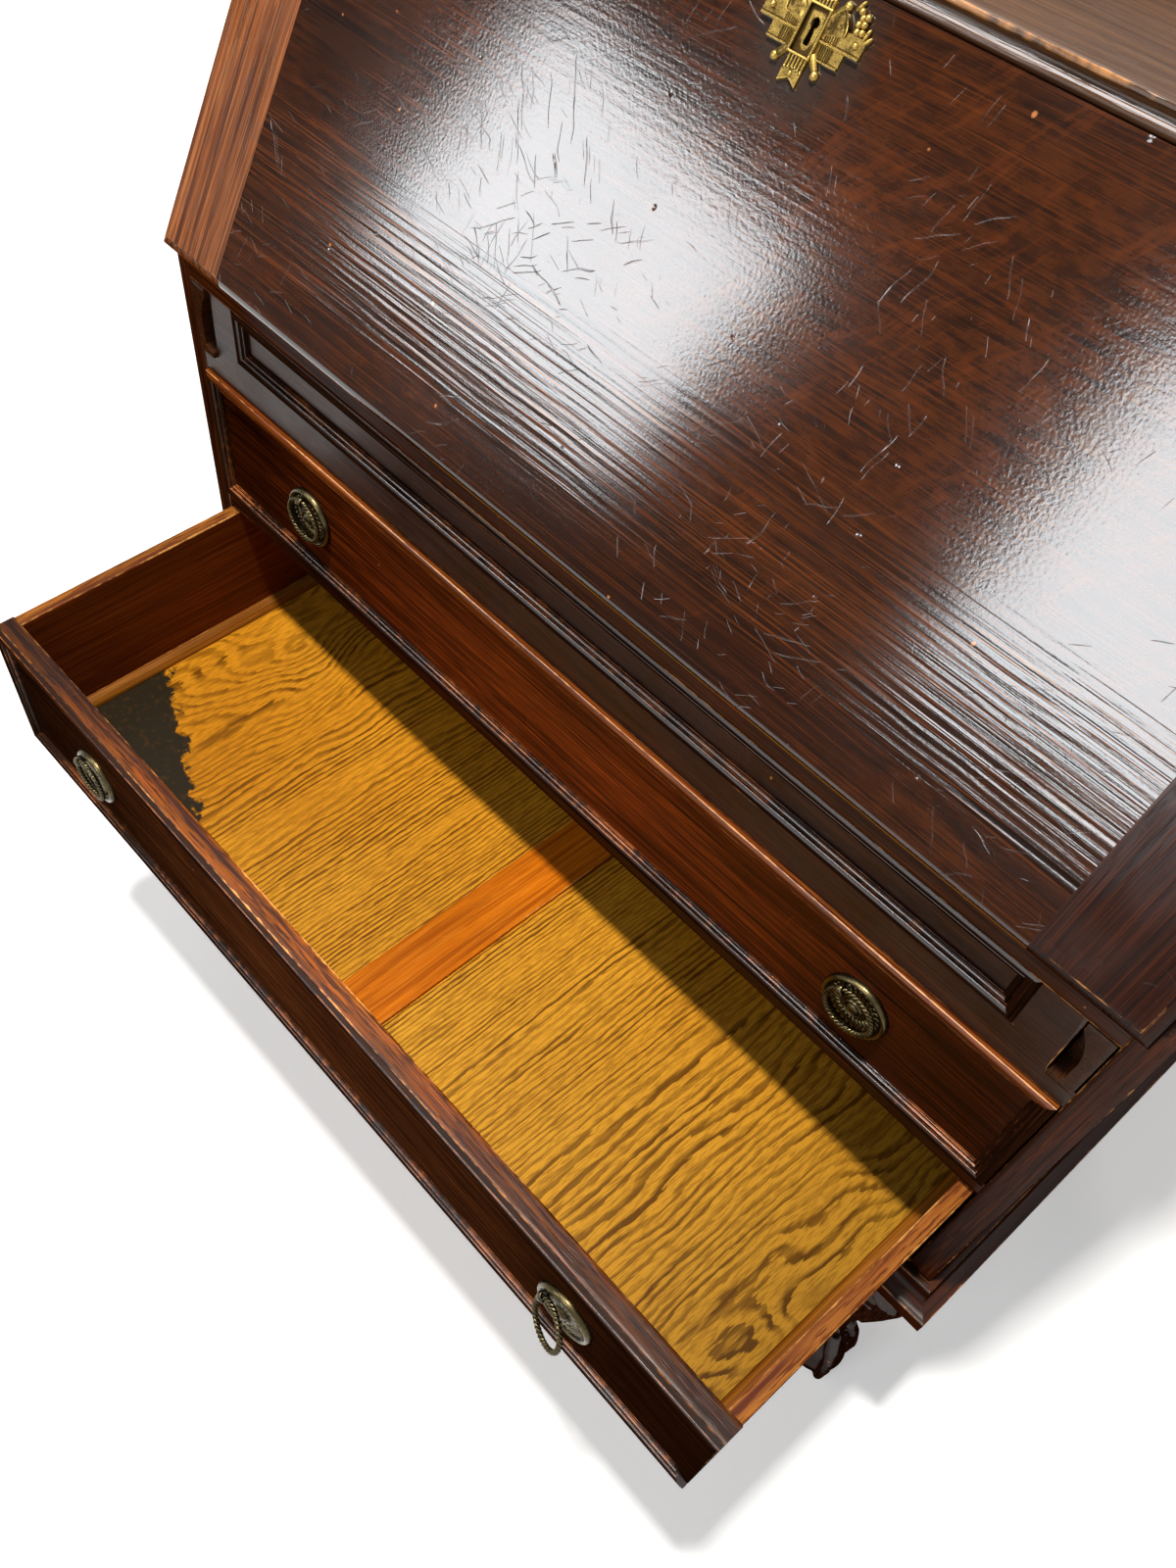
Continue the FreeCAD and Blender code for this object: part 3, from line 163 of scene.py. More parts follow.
def new_group(name, inputs, outputs):
    """An empty shader group, with the sockets that come into it and go out of it."""
    group = bpy.data.node_groups.new(name, "ShaderNodeTree")
    for label, value in inputs.items():
        kind = {tuple: "Color", float: "Float"}.get(type(value), "Vector")
        socket = group.interface.new_socket(label, in_out="INPUT", socket_type=f"NodeSocket{kind}")
        if value is not None:
            socket.default_value = value
    for label in outputs:
        kind = "Color" if label == "Colour" else "Float"
        group.interface.new_socket(label, in_out="OUTPUT", socket_type=f"NodeSocket{kind}")
    return group, group.nodes.new("NodeGroupInput").outputs, group.nodes.new("NodeGroupOutput")


def oak_figure_group():
    """Growth lines along X, finer lines between them, and short dark pores."""
    group, given, result = new_group(
        "oak_figure",
        {"Vector": None, "Dark": (0.02, 0.01, 0.005, 1.0), "Middle": (0.05, 0.02, 0.01, 1.0),
         "Light": (0.1, 0.05, 0.02, 1.0), "Lines": 300.0, "Wander": 0.01},
        ("Colour", "Height"))
    along, across, through = split(given["Vector"])
    drift = times(minus(streaks(given["Vector"], 2.6, 8.0, 8.0), 0.5), given["Wander"])
    across = times(plus(across, drift), given["Lines"])
    through = times(through, given["Lines"])

    def grain(length, scale, detail, rough=0.5):
        return clouds(joined(group, times(along, length), across, through), scale, detail, rough)

    coarse = grain(5.0, 1.0, 2.0, 0.6)
    fine = grain(4.0, 3.1, 1.0)
    pores = ramped(grain(9.0, 5.3, 0.0), 0.58, 0.7)
    patches = streaks(given["Vector"], 3.0, 9.0, 9.0, 3.0)
    colour = blended(ramped(coarse, 0.36, 0.64), given["Dark"], given["Middle"])
    colour = blended(ramped(fine, 0.5, 0.78, 0.0, 0.65), colour, given["Light"])
    colour = blended(ramped(pores, 0.0, 1.0, 0.0, 0.6), colour, given["Dark"])
    colour = vectors("SCALE", colour, scale=ramped(patches, 0.3, 0.7, 0.72, 1.22))
    height = minus(plus(times(coarse, 0.6), times(fine, 0.25)), times(pores, 0.3))
    fill(result, in_Colour=colour, in_Height=height)
    return group


def rubbed_edge_group():
    """Where hands and dusters have taken the stain off, from the wear mark that each board carries."""
    group, given, result = new_group("rubbed_edge", {"Vector": None, "Reach": 0.0}, ("Mask",))
    mark = put(group, "ShaderNodeAttribute", attribute_name="wear").outputs["Fac"]
    grit = times(minus(clouds(given["Vector"], 130.0, 3.0), 0.5), 0.9)
    sweep = times(minus(clouds(given["Vector"], 14.0, 2.0), 0.5), 1.3)
    total = plus(plus(mark, grit), plus(sweep, given["Reach"]))
    fill(result, in_Mask=times(ramped(total, 0.78, 1.04), ramped(mark, 0.02, 0.3)))
    return group


def knocks_group():
    """Scratches, dents and small chips of a century of use."""
    group, given, result = new_group("knocks", {"Vector": None, "Use": 0.0}, ("Scratch", "Dent", "Chip"))
    wobble = put(group, "ShaderNodeTexNoise", in_Vector=given["Vector"], in_Scale=24.0, in_Detail=2.0)
    place = vectors("ADD", given["Vector"], vectors("SCALE", wobble.outputs[1], scale=0.016))
    total = None
    for turn, gate in ((1.05, 11.0), (1.75, 7.0), (-0.55, 9.0), (0.4, 8.0)):
        turned = swung(place, (0.0, 0.0, turn))
        line = streaks(turned, 40.0, 900.0, 20.0, 0.0)
        line = ramped(sums("MULTIPLY_ADD", given["Use"], 0.045, line), 0.81, 0.86)
        often = sums("MULTIPLY_ADD", given["Use"], 0.1, clouds(turned, gate, 1.0))
        line = times(line, ramped(often, 0.54, 0.64))
        total = line if total is None else most(total, line)

    def flaws(scale, far, near, channel, low, high):
        cells = put(group, "ShaderNodeTexVoronoi", in_Vector=place, in_Scale=scale).outputs
        chance = put(group, "ShaderNodeSeparateColor", in_0=cells["Color"]).outputs[channel]
        return times(ramped(cells["Distance"], far, near), ramped(chance, low, high))

    fill(result, in_Scratch=total, in_Dent=flaws(62.0, 0.1, 0.02, 0, 0.88, 0.9),
         in_Chip=flaws(115.0, 0.16, 0.1, 1, 0.982, 0.984))
    return group


oak_figure = oak_figure_group()
rubbed_edge = rubbed_edge_group()
knocks = knocks_group()
ALONG_X = (0.0, 0.0, 0.0)
ALONG_Y = (0.0, 0.0, -math.pi / 2)
ALONG_Z = (0.0, math.pi / 2, 0.0)
BARE_TAN = (196, 134, 74)


def new_material(name):
    """A material, its tree and the surface at the end of the tree."""
    material = bpy.data.materials.new(name)
    material.use_nodes = True
    return material, material.node_tree, material.node_tree.nodes["Principled BSDF"]


def figured(place, dark, middle, light, lines, wander):
    return put(place.id_data, "ShaderNodeGroup", node_tree=oak_figure, in_Vector=place, in_Dark=stain(*dark),
               in_Middle=stain(*middle), in_Light=stain(*light), in_Lines=lines, in_Wander=wander).outputs


def rubbed(place, reach):
    return put(place.id_data, "ShaderNodeGroup", node_tree=rubbed_edge, in_Vector=place,
               in_Reach=reach).outputs["Mask"]


def oak(name, turn, dark, middle, light, lines=300.0, wander=0.012, gloss=0.34, shine=0.4, reach=0.0,
        relief=0.35, bare=BARE_TAN, crown=None, fade=0.58, flat=1.0):
    """Stained and polished oak with its grain along one axis; a crown colour is for bare upper edges."""
    material, tree, surface = new_material(name)
    coordinates = own_place(tree)
    place = swung(coordinates, turn)
    figure = figured(place, dark, middle, light, lines, wander)
    wear = rubbed(coordinates, reach)
    marks = put(tree, "ShaderNodeGroup", node_tree=knocks, in_Vector=place).outputs
    colour = figure["Colour"]
    if crown is not None:
        bald = figured(place, dark, crown, light, lines * 0.7, wander)["Colour"]
        pores = ramped(streaks(place, 45.0, 620.0, 620.0, 3.0), 0.52, 0.6)
        pored = blended(times(pores, 0.85), bald, stain(*dark))
        colour = blended(ramped(facing_up(tree), 0.85, 0.95), colour, pored)
    colour = blended(wear, colour, stain(*bare))
    colour = blended(times(marks["Chip"], 0.8), colour, stain(*bare))
    colour = blended(times(marks["Scratch"], 0.2), colour, stain(*light))
    rough = plus(ramped(clouds(place, 22.0, 3.0), 0.3, 0.7, gloss - 0.06, gloss + 0.08), times(wear, 0.06))
    height = minus(minus(figure["Height"], times(marks["Scratch"], 0.5)), times(marks["Dent"], 1.2))
    bump = bumped(height, relief, 0.0006)
    glance = put(tree, "ShaderNodeLayerWeight", in_Blend=0.5).outputs["Facing"]
    level = ramped(glance, 0.22, fade, shine, 0.0)
    if flat < 1.0:
        level = times(level, ramped(facing_up(tree), 0.9, 0.98, 1.0, flat))
    surface.inputs["Specular IOR Level"].default_value = shine
    fill(surface, in_Base_Color=colour, in_Roughness=rough, in_Normal=bump, in_Specular_IOR_Level=level)
    return material


def smoothed(shape, sharpest):
    for face in shape.faces:
        face.smooth = True
    for edge in shape.edges:
        edge.smooth = len(edge.link_faces) == 2 and edge.calc_face_angle(0.0) < sharpest


def added(name, data):
    """An object that is in the scene."""
    item = bpy.data.objects.new(name, data)
    bpy.context.scene.collection.objects.link(item)
    return item


def install(shape, name, materials, body, node=None):
    """Makes a shape into a piece that rides on a body and stands for one node; screws stand for none."""
    mesh = bpy.data.meshes.new(name)
    shape.to_mesh(mesh)
    shape.free()
    mesh.materials.clear()
    for material in materials:
        mesh.materials.append(material)
    piece = added(name, mesh)
    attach(piece, body)
    if node is None:
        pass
    else:
        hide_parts(node)


def worn_board(node, body, material, soften=0.0007, spread=0.003, longest=0.03, tilt=0.0,
               pivot=(0.0, 0.0, 0.0), joint=None):
    """A board with its arrises eased, carrying a wear mark that fades away from every edge."""
    shape = bmesh.new()
    shape.from_mesh(frame["nodes"][node].data)
    bmesh.ops.remove_doubles(shape, verts=shape.verts, dist=0.00001)
    lay_flat = Matrix.Rotation(-tilt, 4, "X") @ Matrix.Translation(-Vector(pivot))
    bmesh.ops.transform(shape, matrix=lay_flat, verts=shape.verts)
    bmesh.ops.dissolve_limit(shape, angle_limit=0.01, verts=shape.verts, edges=shape.edges)
    arrises = []
    for edge in shape.edges:
        if len(edge.link_faces) != 2 or edge.calc_face_angle(0.0) < 0.6 or edge.calc_length() < longest:
            continue
        glued = joint is not None and all(abs(abs(vert.co.x) - joint) < 0.0005 for vert in edge.verts)
        if not glued:
            arrises.append(edge)
    runs = [(edge.verts[0].co.copy(), edge.verts[1].co.copy()) for edge in arrises]
    limits = {}
    for edge in arrises:
        for face in edge.link_faces:
            inward = face.normal.cross(edge.verts[1].co - edge.verts[0].co).normalized()
            inward *= -1 if tuple(inward) < tuple(-inward) else 1
            for reach in (spread, -spread):
                offset = edge.verts[0].co.dot(inward) + reach
                key = (*(round(value, 2) for value in inward), round(offset * 4000))
                limits[key] = (inward * offset, inward)
    bmesh.ops.bevel(shape, geom=arrises, offset=soften, offset_type="OFFSET", segments=2, profile=0.5,
                    affect="EDGES", clamp_overlap=True)
    for point, inward in limits.values():
        everything = shape.verts[:] + shape.edges[:] + shape.faces[:]
        bmesh.ops.bisect_plane(shape, geom=everything, plane_co=point, plane_no=inward, dist=0.00002)
    mark = shape.verts.layers.float.new("wear")
    for vert in shape.verts:
        nearest = 1.0
        for start, finish in runs:
            line = finish - start
            along = max(0.0, min(1.0, (vert.co - start).dot(line) / line.length_squared))
            nearest = min(nearest, (vert.co - start - line * along).length)
        vert[mark] = max(0.0, 1.0 - nearest / spread)
    smoothed(shape, 0.6)
    bmesh.ops.transform(shape, matrix=lay_flat.inverted(), verts=shape.verts)
    install(shape, f"{node}_worn", (material,), body, node)


FUMED = ((34, 14, 5), (64, 28, 11), (112, 54, 20))
side_oak = oak("side_oak", ALONG_Z, *FUMED, lines=260.0, reach=-0.12, shine=0.18)
rail_oak = oak("rail_oak", ALONG_X, *FUMED, lines=320.0, reach=-0.1, shine=0.3)
inner_oak = oak("inner_oak", ALONG_X, (58, 36, 22), (86, 55, 34), (116, 78, 48), gloss=0.6, shine=0.2)
back_oak = oak("back_oak", ALONG_Z, (52, 34, 22), (82, 54, 34), (108, 74, 46), gloss=0.65, shine=0.2)
worn_board("left_side", "case", side_oak)
worn_board("right_side", "case", side_oak)
worn_board("drawer_divider", "case", rail_oak)
worn_board("case_bottom", "case", inner_oak, longest=0.1)
worn_board("back_panel", "case", back_oak)

# Top board: one wide oak plank, its front edge run with a bead and a cove over the fall.
# The polish on it is thinner and the edge is rubbed to the bare wood along its whole length.
# Its colours are set lighter and greyer than the case boards: a painted reflection of warm light and haze on
# its face.
top_oak = oak("top_oak", ALONG_X, (72, 48, 31), (92, 62, 40), (112, 78, 50), lines=240.0, reach=0.1,
              gloss=0.16, shine=0.8, fade=0.66)
worn_board("top_board", "case", top_oak, longest=0.1, spread=0.004)

# Base moulding: three mitred lengths planted round the foot of the case, coved above a square edge.
# It takes the knocks of feet and brooms, so its lower arris is chipped.
base_oak = oak("base_oak", ALONG_X, *FUMED, lines=340.0, reach=0.05, shine=0.2)
base_return_oak = oak("base_return_oak", ALONG_Y, *FUMED, lines=340.0, reach=0.05, shine=0.2)
worn_board("base_moulding_front", "case", base_oak)
worn_board("base_moulding_left", "case", base_return_oak)
worn_board("base_moulding_right", "case", base_return_oak)

# Cabriole legs: each cut from one oak billet and carved, with a ball held in four claws at the foot.
# A dowel on the square block goes up into the case bottom.
leg_oak = oak("leg_oak", ALONG_Z, (30, 15, 9), (58, 28, 16), (92, 46, 24), lines=280.0, gloss=0.3)
LEG_SECTIONS = (
    (35.5, 21.5, 7.0), (61.4, 16.5, 1.4), (88.0, 14.5, -5.0), (134.7, 19.0, -3.0), (195.6, 25.7, 4.2),
    (252.4, 33.0, 7.0), (291.0, 27.0, 0.0),
)
CLAW = ((13, 84, 6.0), (19.5, 66, 7.0), (23.5, 52, 5.4), (25.3, 39, 5.6), (25.6, 25, 4.6), (25.2, 14, 4.6),
        (23.0, 4.0, 2.2))
LEG_TURNS = {"front_right_leg": -45.0, "back_right_leg": 45.0, "back_left_leg": 135.0,
             "front_left_leg": -135.0}
MILLIMETRES = Matrix.Diagonal((0.001, 0.001, 0.001, 1.0))


def leg_at(height):
    """Radius of the leg and how far its middle is thrown out, at one height."""
    heights = [section[0] for section in LEG_SECTIONS]
    number = max(0, min(len(heights) - 2, sum(height >= value for value in heights) - 1))
    share = (height - heights[number]) / (heights[number + 1] - heights[number])
    around = [LEG_SECTIONS[max(0, min(len(heights) - 1, number + step))] for step in (-1, 0, 1, 2)]
    found = []
    for entry in (1, 2):
        a, b, c, d = (section[entry] for section in around)
        slope = (c - a) * share + (2 * a - 5 * b + 4 * c - d) * share ** 2
        slope += (3 * b - a - 3 * c + d) * share ** 3
        found.append(b + 0.5 * slope)
    return found


def circle(shape, radius, points, place):
    """A ring of points; the place is found from the two shares of the radius."""
    row = []
    for step in range(points):
        angle = 2 * math.pi * step / points
        row.append(shape.verts.new(place(radius * math.cos(angle), radius * math.sin(angle))))
    return row


def bridged(shape, first, second):
    """Faces between two closed rows of points."""
    faces = []
    for step in range(len(first)):
        after = (step + 1) % len(first)
        faces.append(shape.faces.new((first[step], first[after], second[after], second[step])))
    return faces


def stacked(shape, rows):
    """A closed skin over rows of points, from the first to the last."""
    shape.faces.new(rows[0][::-1])
    for first, second in zip(rows, rows[1:]):
        bridged(shape, first, second)
    shape.faces.new(rows[-1])


def cord(shape, points):
    """A cord bent through a row of points, each with its own thickness."""
    side = Vector((0.31, 0.57, 0.76))
    rows = []
    for number, (x, y, z, thick) in enumerate(points):
        before = Vector(points[max(0, number - 1)][:3])
        after = Vector(points[min(len(points) - 1, number + 1)][:3])
        line = (after - before).normalized()
        side = (side - line * side.dot(line)).normalized()
        other = line.cross(side)
        rows.append(circle(shape, 1.0, 12, lambda a, b: Vector((x, y, z)) + thick * (a * side + b * other)))
    stacked(shape, rows)


def on_leg(height, angle, sunk, radius):
    reach, throw = leg_at(height)
    turn = math.radians(angle)
    return (throw + (reach - sunk) * math.cos(turn), (reach - sunk) * math.sin(turn), height, radius)


def carved_leg():
    """The whole leg in millimetres: knee and shank, a leaf on the knee, and the claws round the ball."""
    shape = bmesh.new()
    rows = []
    for level in range(65):
        height = 35.5 + (291.0 - 35.5) * level / 64
        reach, throw = leg_at(height)
        rows.append(circle(shape, reach, 48, lambda x, y: (throw + x, y, height)))
    stacked(shape, rows)
    block = Matrix.Translation((0.0, 0.0, 304.0)) @ Matrix.Rotation(math.pi / 4, 4, "Z")
    bmesh.ops.create_cube(shape, size=1.0, matrix=block @ Matrix.Diagonal((58.0, 58.0, 30.0, 1.0)))
    bmesh.ops.create_cone(shape, segments=32, radius1=10.0, radius2=10.0, depth=21.0, cap_ends=True,
                          matrix=Matrix.Translation((0.0, 0.0, 324.5)))
    bmesh.ops.create_uvsphere(shape, u_segments=40, v_segments=28, radius=24.6,
                              matrix=Matrix.Translation((7.0, 0.0, 23.0)))
    for claw in range(4):
        turn = math.pi / 2 * claw
        line = []
        for reach, height, thick in CLAW:
            throw = 7.0 * min(1.0, (90 - height) / 40)
            line.append((throw + reach * math.cos(turn), reach * math.sin(turn), height, thick))
        cord(shape, line)
    cord(shape, [on_leg(height, 0.0, 0.8, 3.4) for height in (280, 250, 220, 190, 165)])
    for lobe in range(4):
        bends = ((0, 0), (14, 16), (24, 32 - 3 * lobe), (26, 46 - 4 * lobe))
        for side in (-1, 1):
            foot = 240 - 22 * lobe
            cord(shape, [on_leg(foot + rise, side * angle, 1.2, 3.4 - 0.4 * step)
                         for step, (rise, angle) in enumerate(bends)])
    return shape


def mark_proud(shape, gain, level):
    """Gives every point a wear mark for how far it stands proud of its neighbours."""
    shape.normal_update()
    mark = shape.verts.layers.float.new("wear")
    for vert in shape.verts:
        proud = 0.0
        for edge in vert.link_edges:
            away = vert.co - edge.other_vert(vert).co
            proud += away.dot(vert.normal) / max(away.length, 0.0000001)
        vert[mark] = max(0.0, min(1.0, gain * proud / max(1, len(vert.link_edges)) + level))


def modified(mesh, name, kind, **settings):
    """The mesh that a modifier makes of another; settings in a group's own inputs are given by identifier."""
    carrier = added(name, mesh)
    maker = carrier.modifiers.new(name, kind)
    for key, value in settings.items():
        if hasattr(maker, key):
            setattr(maker, key, value)
        else:
            maker[key] = value
    made = bpy.data.meshes.new_from_object(carrier.evaluated_get(bpy.context.evaluated_depsgraph_get()))
    bpy.data.objects.remove(carrier)
    return made


def fused(shape, grain):
    """One skin over overlapping closed shapes, with a wear mark on whatever stands proud."""
    raw = bpy.data.meshes.new("raw_carving")
    shape.to_mesh(raw)
    shape.free()
    whole = modified(raw, "skin", "REMESH", mode="VOXEL", voxel_size=grain)
    result = bmesh.new()
    result.from_mesh(whole)
    bpy.data.meshes.remove(whole)
    for turn in range(2):
        bmesh.ops.smooth_vert(result, verts=result.verts, factor=0.5, use_axis_x=True, use_axis_y=True,
                              use_axis_z=True)
    mark_proud(result, 1.8, -0.05)
    return result


leg_shape = fused(carved_leg(), 1.5)
side_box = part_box("left_side")
for node, turn in LEG_TURNS.items():
    across = 0.39 if "right" in node else -0.39
    along = side_box[0][1] + 0.029 if "front" in node else side_box[1][1] - 0.029
    shape = leg_shape.copy()
    for vert in shape.verts:
        vert.co.z = max(vert.co.z, 0.0)
    stand = Matrix.Translation((across, along, 0.0)) @ Matrix.Rotation(math.radians(turn), 4, "Z")
    bmesh.ops.transform(shape, matrix=stand @ MILLIMETRES, verts=shape.verts)
    smoothed(shape, math.tau)
    install(shape, f"{node}_carved", (leg_oak,), "case", node)
leg_shape.free()

# Frieze: a rail under the writing bed with a long sunk panel, framed by four mitred strips of moulding.
# The strips have a broad round, a quirk and a small bead; the round is polished bright by sleeves.
frieze_oak = oak("frieze_oak", ALONG_X, (26, 11, 5), (48, 22, 10), (88, 44, 18), reach=-0.2, fade=0.9)
STRIP_TONES = ((24, 12, 6), (44, 22, 11), (80, 42, 18))
STRIP = {"lines": 420.0, "gloss": 0.26, "relief": 0.1, "fade": 0.38, "flat": 0.15}
strip_oak = oak("strip_oak", ALONG_X, *STRIP_TONES, shine=0.95, bare=(158, 88, 40), **STRIP)
strip_end_oak = oak("strip_end_oak", ALONG_Z, *STRIP_TONES, shine=0.8, reach=-0.2, bare=(158, 88, 40),
                    **STRIP)
red_strip_oak = oak("red_strip_oak", ALONG_X, (56, 22, 6), (118, 56, 18), (164, 92, 36), shine=0.5, reach=0.1,
                    **STRIP)
worn_board("frieze_board", "case", frieze_oak, longest=0.05)


def moulding_strips(stem, body, sides):
    for side in sides:
        finish = strip_oak if side in ("top", "bottom") else strip_end_oak
        if (stem, side) == ("upper_drawer", "top"):
            finish = red_strip_oak
        worn_board(f"{stem}_moulding_{side}", body, finish, soften=0.00025, spread=0.0016, longest=0.02)


moulding_strips("frieze", "case", ("top", "bottom", "left", "right"))

# Writing bed, and the guides that carry the lopers behind the frieze.
# The bed is polished like the fall, since it carries on the writing surface; the guides are plain sawn oak.
worn_board("writing_bed", "case", rail_oak, longest=0.05)
guide_oak = oak("guide_oak", ALONG_Y, (70, 44, 26), (104, 68, 40), (134, 92, 56), gloss=0.6, shine=0.2)
worn_board("left_loper_guide", "case", guide_oak)
worn_board("right_loper_guide", "case", guide_oak)

# Lopers: oak arms that slide out under the fall, with a thumb hollow in the cheek and a stop peg at the tail.
# They run in their guides without metal, so their long edges are eased and dark with handling.
loper_oak = oak("loper_oak", ALONG_Y, (38, 20, 10), (64, 34, 16), (96, 56, 28), lines=360.0, reach=-0.5,
                shine=0.25)
for loper in ("left_loper", "right_loper"):
    worn_board(loper, loper, loper_oak, longest=0.012, soften=0.0005)

# Pigeonhole fitting: a thin shelf over four uprights at the back of the writing space, in plain oak.
# The uprights are housed in the shelf and stand on the writing bed; the polish on them is thin and even.
FITTING_TONES = ((60, 32, 18), (92, 52, 28), (128, 78, 42))
worn_board("pigeonhole_shelf", "case", oak("fitting_oak", ALONG_X, *FITTING_TONES, gloss=0.5))
worn_board("pigeonhole_dividers", "case", oak("fitting_upright_oak", ALONG_Z, *FITTING_TONES, gloss=0.5))

# Fall: three planks glued edge to edge between two cross-grained clamps that keep it flat.
# The upper plank is quartered and shows rays; the next is straight-grained and has weathered into ridges.
FALL_SLOPE = math.radians(59.5)
CLAMP_JOINT = 0.34
FALL_THICK = 0.019
KEY_RISE = 0.2854
hinge_line = Vector(frame["joints"][0]["pos_m"])
hinge_up = hinge_line.y * math.cos(FALL_SLOPE) + hinge_line.z * math.sin(FALL_SLOPE)
hinge_out = -hinge_line.y * math.sin(FALL_SLOPE) + hinge_line.z * math.cos(FALL_SLOPE)


def fall_oak():
    """The writing fall's face: plank lines, rays, ridges, crazed polish and a century of scratches."""
    material, tree, surface = new_material("fall_oak")
    coordinates = own_place(tree)
    place = swung(coordinates, (-FALL_SLOPE, 0.0, 0.0), (0.0, -hinge_up, -hinge_out))
    up = split(place)[1]
    ridged = times(ramped(up, 0.034, 0.04), ramped(up, 0.13, 0.124))
    straight = figured(place, (26, 11, 4), (58, 27, 8), (116, 58, 18), 250.0, 0.014)["Colour"]
    quartered = figured(place, (24, 10, 4), (58, 26, 8), (92, 44, 12), 420.0, 0.01)["Colour"]
    colour = blended(ridged, quartered, straight)
    from_amber = vectors("DISTANCE", stretched(place, 1.0, 1.5, 1.0), (0.13, 0.3, FALL_THICK), output=1)
    amber = plus(ramped(from_amber, 0.24, 0.08, 0.0, 0.5),
                 ramped(streaks(place, 6.0, 12.0, 6.0), 0.4, 0.65, 0.0, 0.5))
    mottle = ramped(streaks(place, 60.0, 190.0, 60.0, 5.0, 0.68), 0.38, 0.68)
    mottle = times(times(mottle, amber), ramped(ridged, 0.0, 1.0, 0.46, 0.28))
    colour = blended(mottle, colour, stain(118, 57, 14))
    slant = swung(place, (0.0, 0.0, -0.9))
    bent = vectors("ADD", slant, joined(tree, y=times(clouds(place, 12.0, 1.0), 0.03)))
    rays = ramped(streaks(bent, 24.0, 130.0, 24.0, 4.0, 0.65), 0.54, 0.7)
    rays = times(times(rays, ramped(from_amber, 0.3, 0.14)), ramped(ridged, 0.0, 1.0, 0.16, 0.1))
    colour = blended(rays, colour, stain(146, 70, 22))
    from_key = vectors("DISTANCE", place, (0.0, 0.283, FALL_THICK), output=1)
    grime = plus(from_key, times(clouds(place, 60.0, 3.0), 0.02))
    colour = blended(ramped(grime, 0.056, 0.03, 0.0, 0.7), colour, stain(50, 44, 40))
    use = None
    for x, rise, far, share in ((-0.125, 0.158, 0.11, 1.0), (0.138, 0.096, 0.1, 0.2)):
        from_spot = vectors("DISTANCE", place, (x, rise, FALL_THICK), output=1)
        spot_use = ramped(from_spot, far, far * 0.4, 0.0, share)
        use = spot_use if use is None else most(use, spot_use)
    marks = put(tree, "ShaderNodeGroup", node_tree=knocks, in_Vector=place, in_Use=use).outputs
    wear = rubbed(coordinates, 0.15)
    colour = blended(wear, colour, stain(164, 92, 44))
    colour = blended(times(marks["Chip"], 0.9), colour, stain(188, 122, 70))
    colour = blended(times(marks["Scratch"], 0.2), colour, stain(30, 18, 12))
    waving = times(streaks(place, 9.0, 14.0, 1.0), 2.2)
    crest = sums("SINE", times(sums("MULTIPLY_ADD", up, 180.0, waving), 2 * math.pi))
    ridges = plus(streaks(place, 4.0, 400.0, 40.0, 2.0, 0.6), times(crest, 0.13))
    crazing = clouds(place, 480.0, 3.0)
    hairs = streaks(place, 16.0, 900.0, 60.0, 1.0)
    height = plus(times(ridges, ramped(ridged, 0.0, 1.0, 0.08, 0.42)),
                  times(crazing, ramped(ridged, 0.0, 1.0, 0.17, 0.1)))
    height = minus(sums("MULTIPLY_ADD", hairs, 0.04, height), times(marks["Scratch"], 0.4))
    height = minus(height, times(marks["Dent"], 1.0))
    bump = bumped(height, 0.45, 0.0007)
    rough = ramped(clouds(place, 16.0, 3.0), 0.3, 0.7, 0.09, 0.13)
    fill(surface, in_Base_Color=colour, in_Roughness=sums("MULTIPLY_ADD", marks["Scratch"], 0.06, rough),
         in_Normal=bump, in_Specular_IOR_Level=0.5, in_Coat_Roughness=0.12, in_Coat_Normal=bump,
         in_Coat_Weight=ramped(marks["Scratch"], 0.0, 1.0, 0.4, 0.0))
    return material


UP_SLOPE = (-FALL_SLOPE, 0.0, -math.pi / 2)
left_clamp_oak = oak("left_clamp_oak", UP_SLOPE, (70, 33, 14), (136, 75, 35), (190, 120, 64), lines=230.0,
                     gloss=0.3, shine=0.25)
right_clamp_oak = oak("right_clamp_oak", UP_SLOPE, (32, 14, 8), (54, 25, 13), (88, 42, 20), lines=260.0,
                      gloss=0.22, shine=0.16)
for node, finish, longest in (("fall_panel", fall_oak(), 0.1), ("fall_left_clamp", left_clamp_oak, 0.05),
                              ("fall_right_clamp", right_clamp_oak, 0.05)):
    worn_board(node, "fall", finish, longest=longest, tilt=FALL_SLOPE, pivot=hinge_line, joint=CLAMP_JOINT)

# Brass of the fall: butt hinges let in flush, a lock let into the top edge, and its bolt.
# The metal is old and dulled, brown in the hollows and yellow where it is handled.


def old_brass(name, dull, bright, rough=0.42, scale=60.0, proud=0.0):
    """Dulled brass; with a share for what stands proud, hollows stay dark and high places are bright."""
    material, tree, surface = new_material(name)
    place = own_place(tree)
    specks = clouds(place, scale * 9, 2.0)
    share = plus(times(clouds(place, scale, 4.0, 0.6), 0.7), times(specks, 0.3))
    if proud:
        mark = put(tree, "ShaderNodeAttribute", attribute_name="wear").outputs["Fac"]
        share = sums("MULTIPLY_ADD", minus(mark, 0.5), proud, share)
    colour = blended(ramped(share, 0.4, 0.62), stain(*dull), stain(*bright))
    fill(surface, in_Base_Color=colour, in_Metallic=1.0, in_Normal=bumped(specks, 0.25, 0.0002),
         in_Roughness=ramped(share, 0.35, 0.65, rough + 0.16, rough - 0.08))
    return material


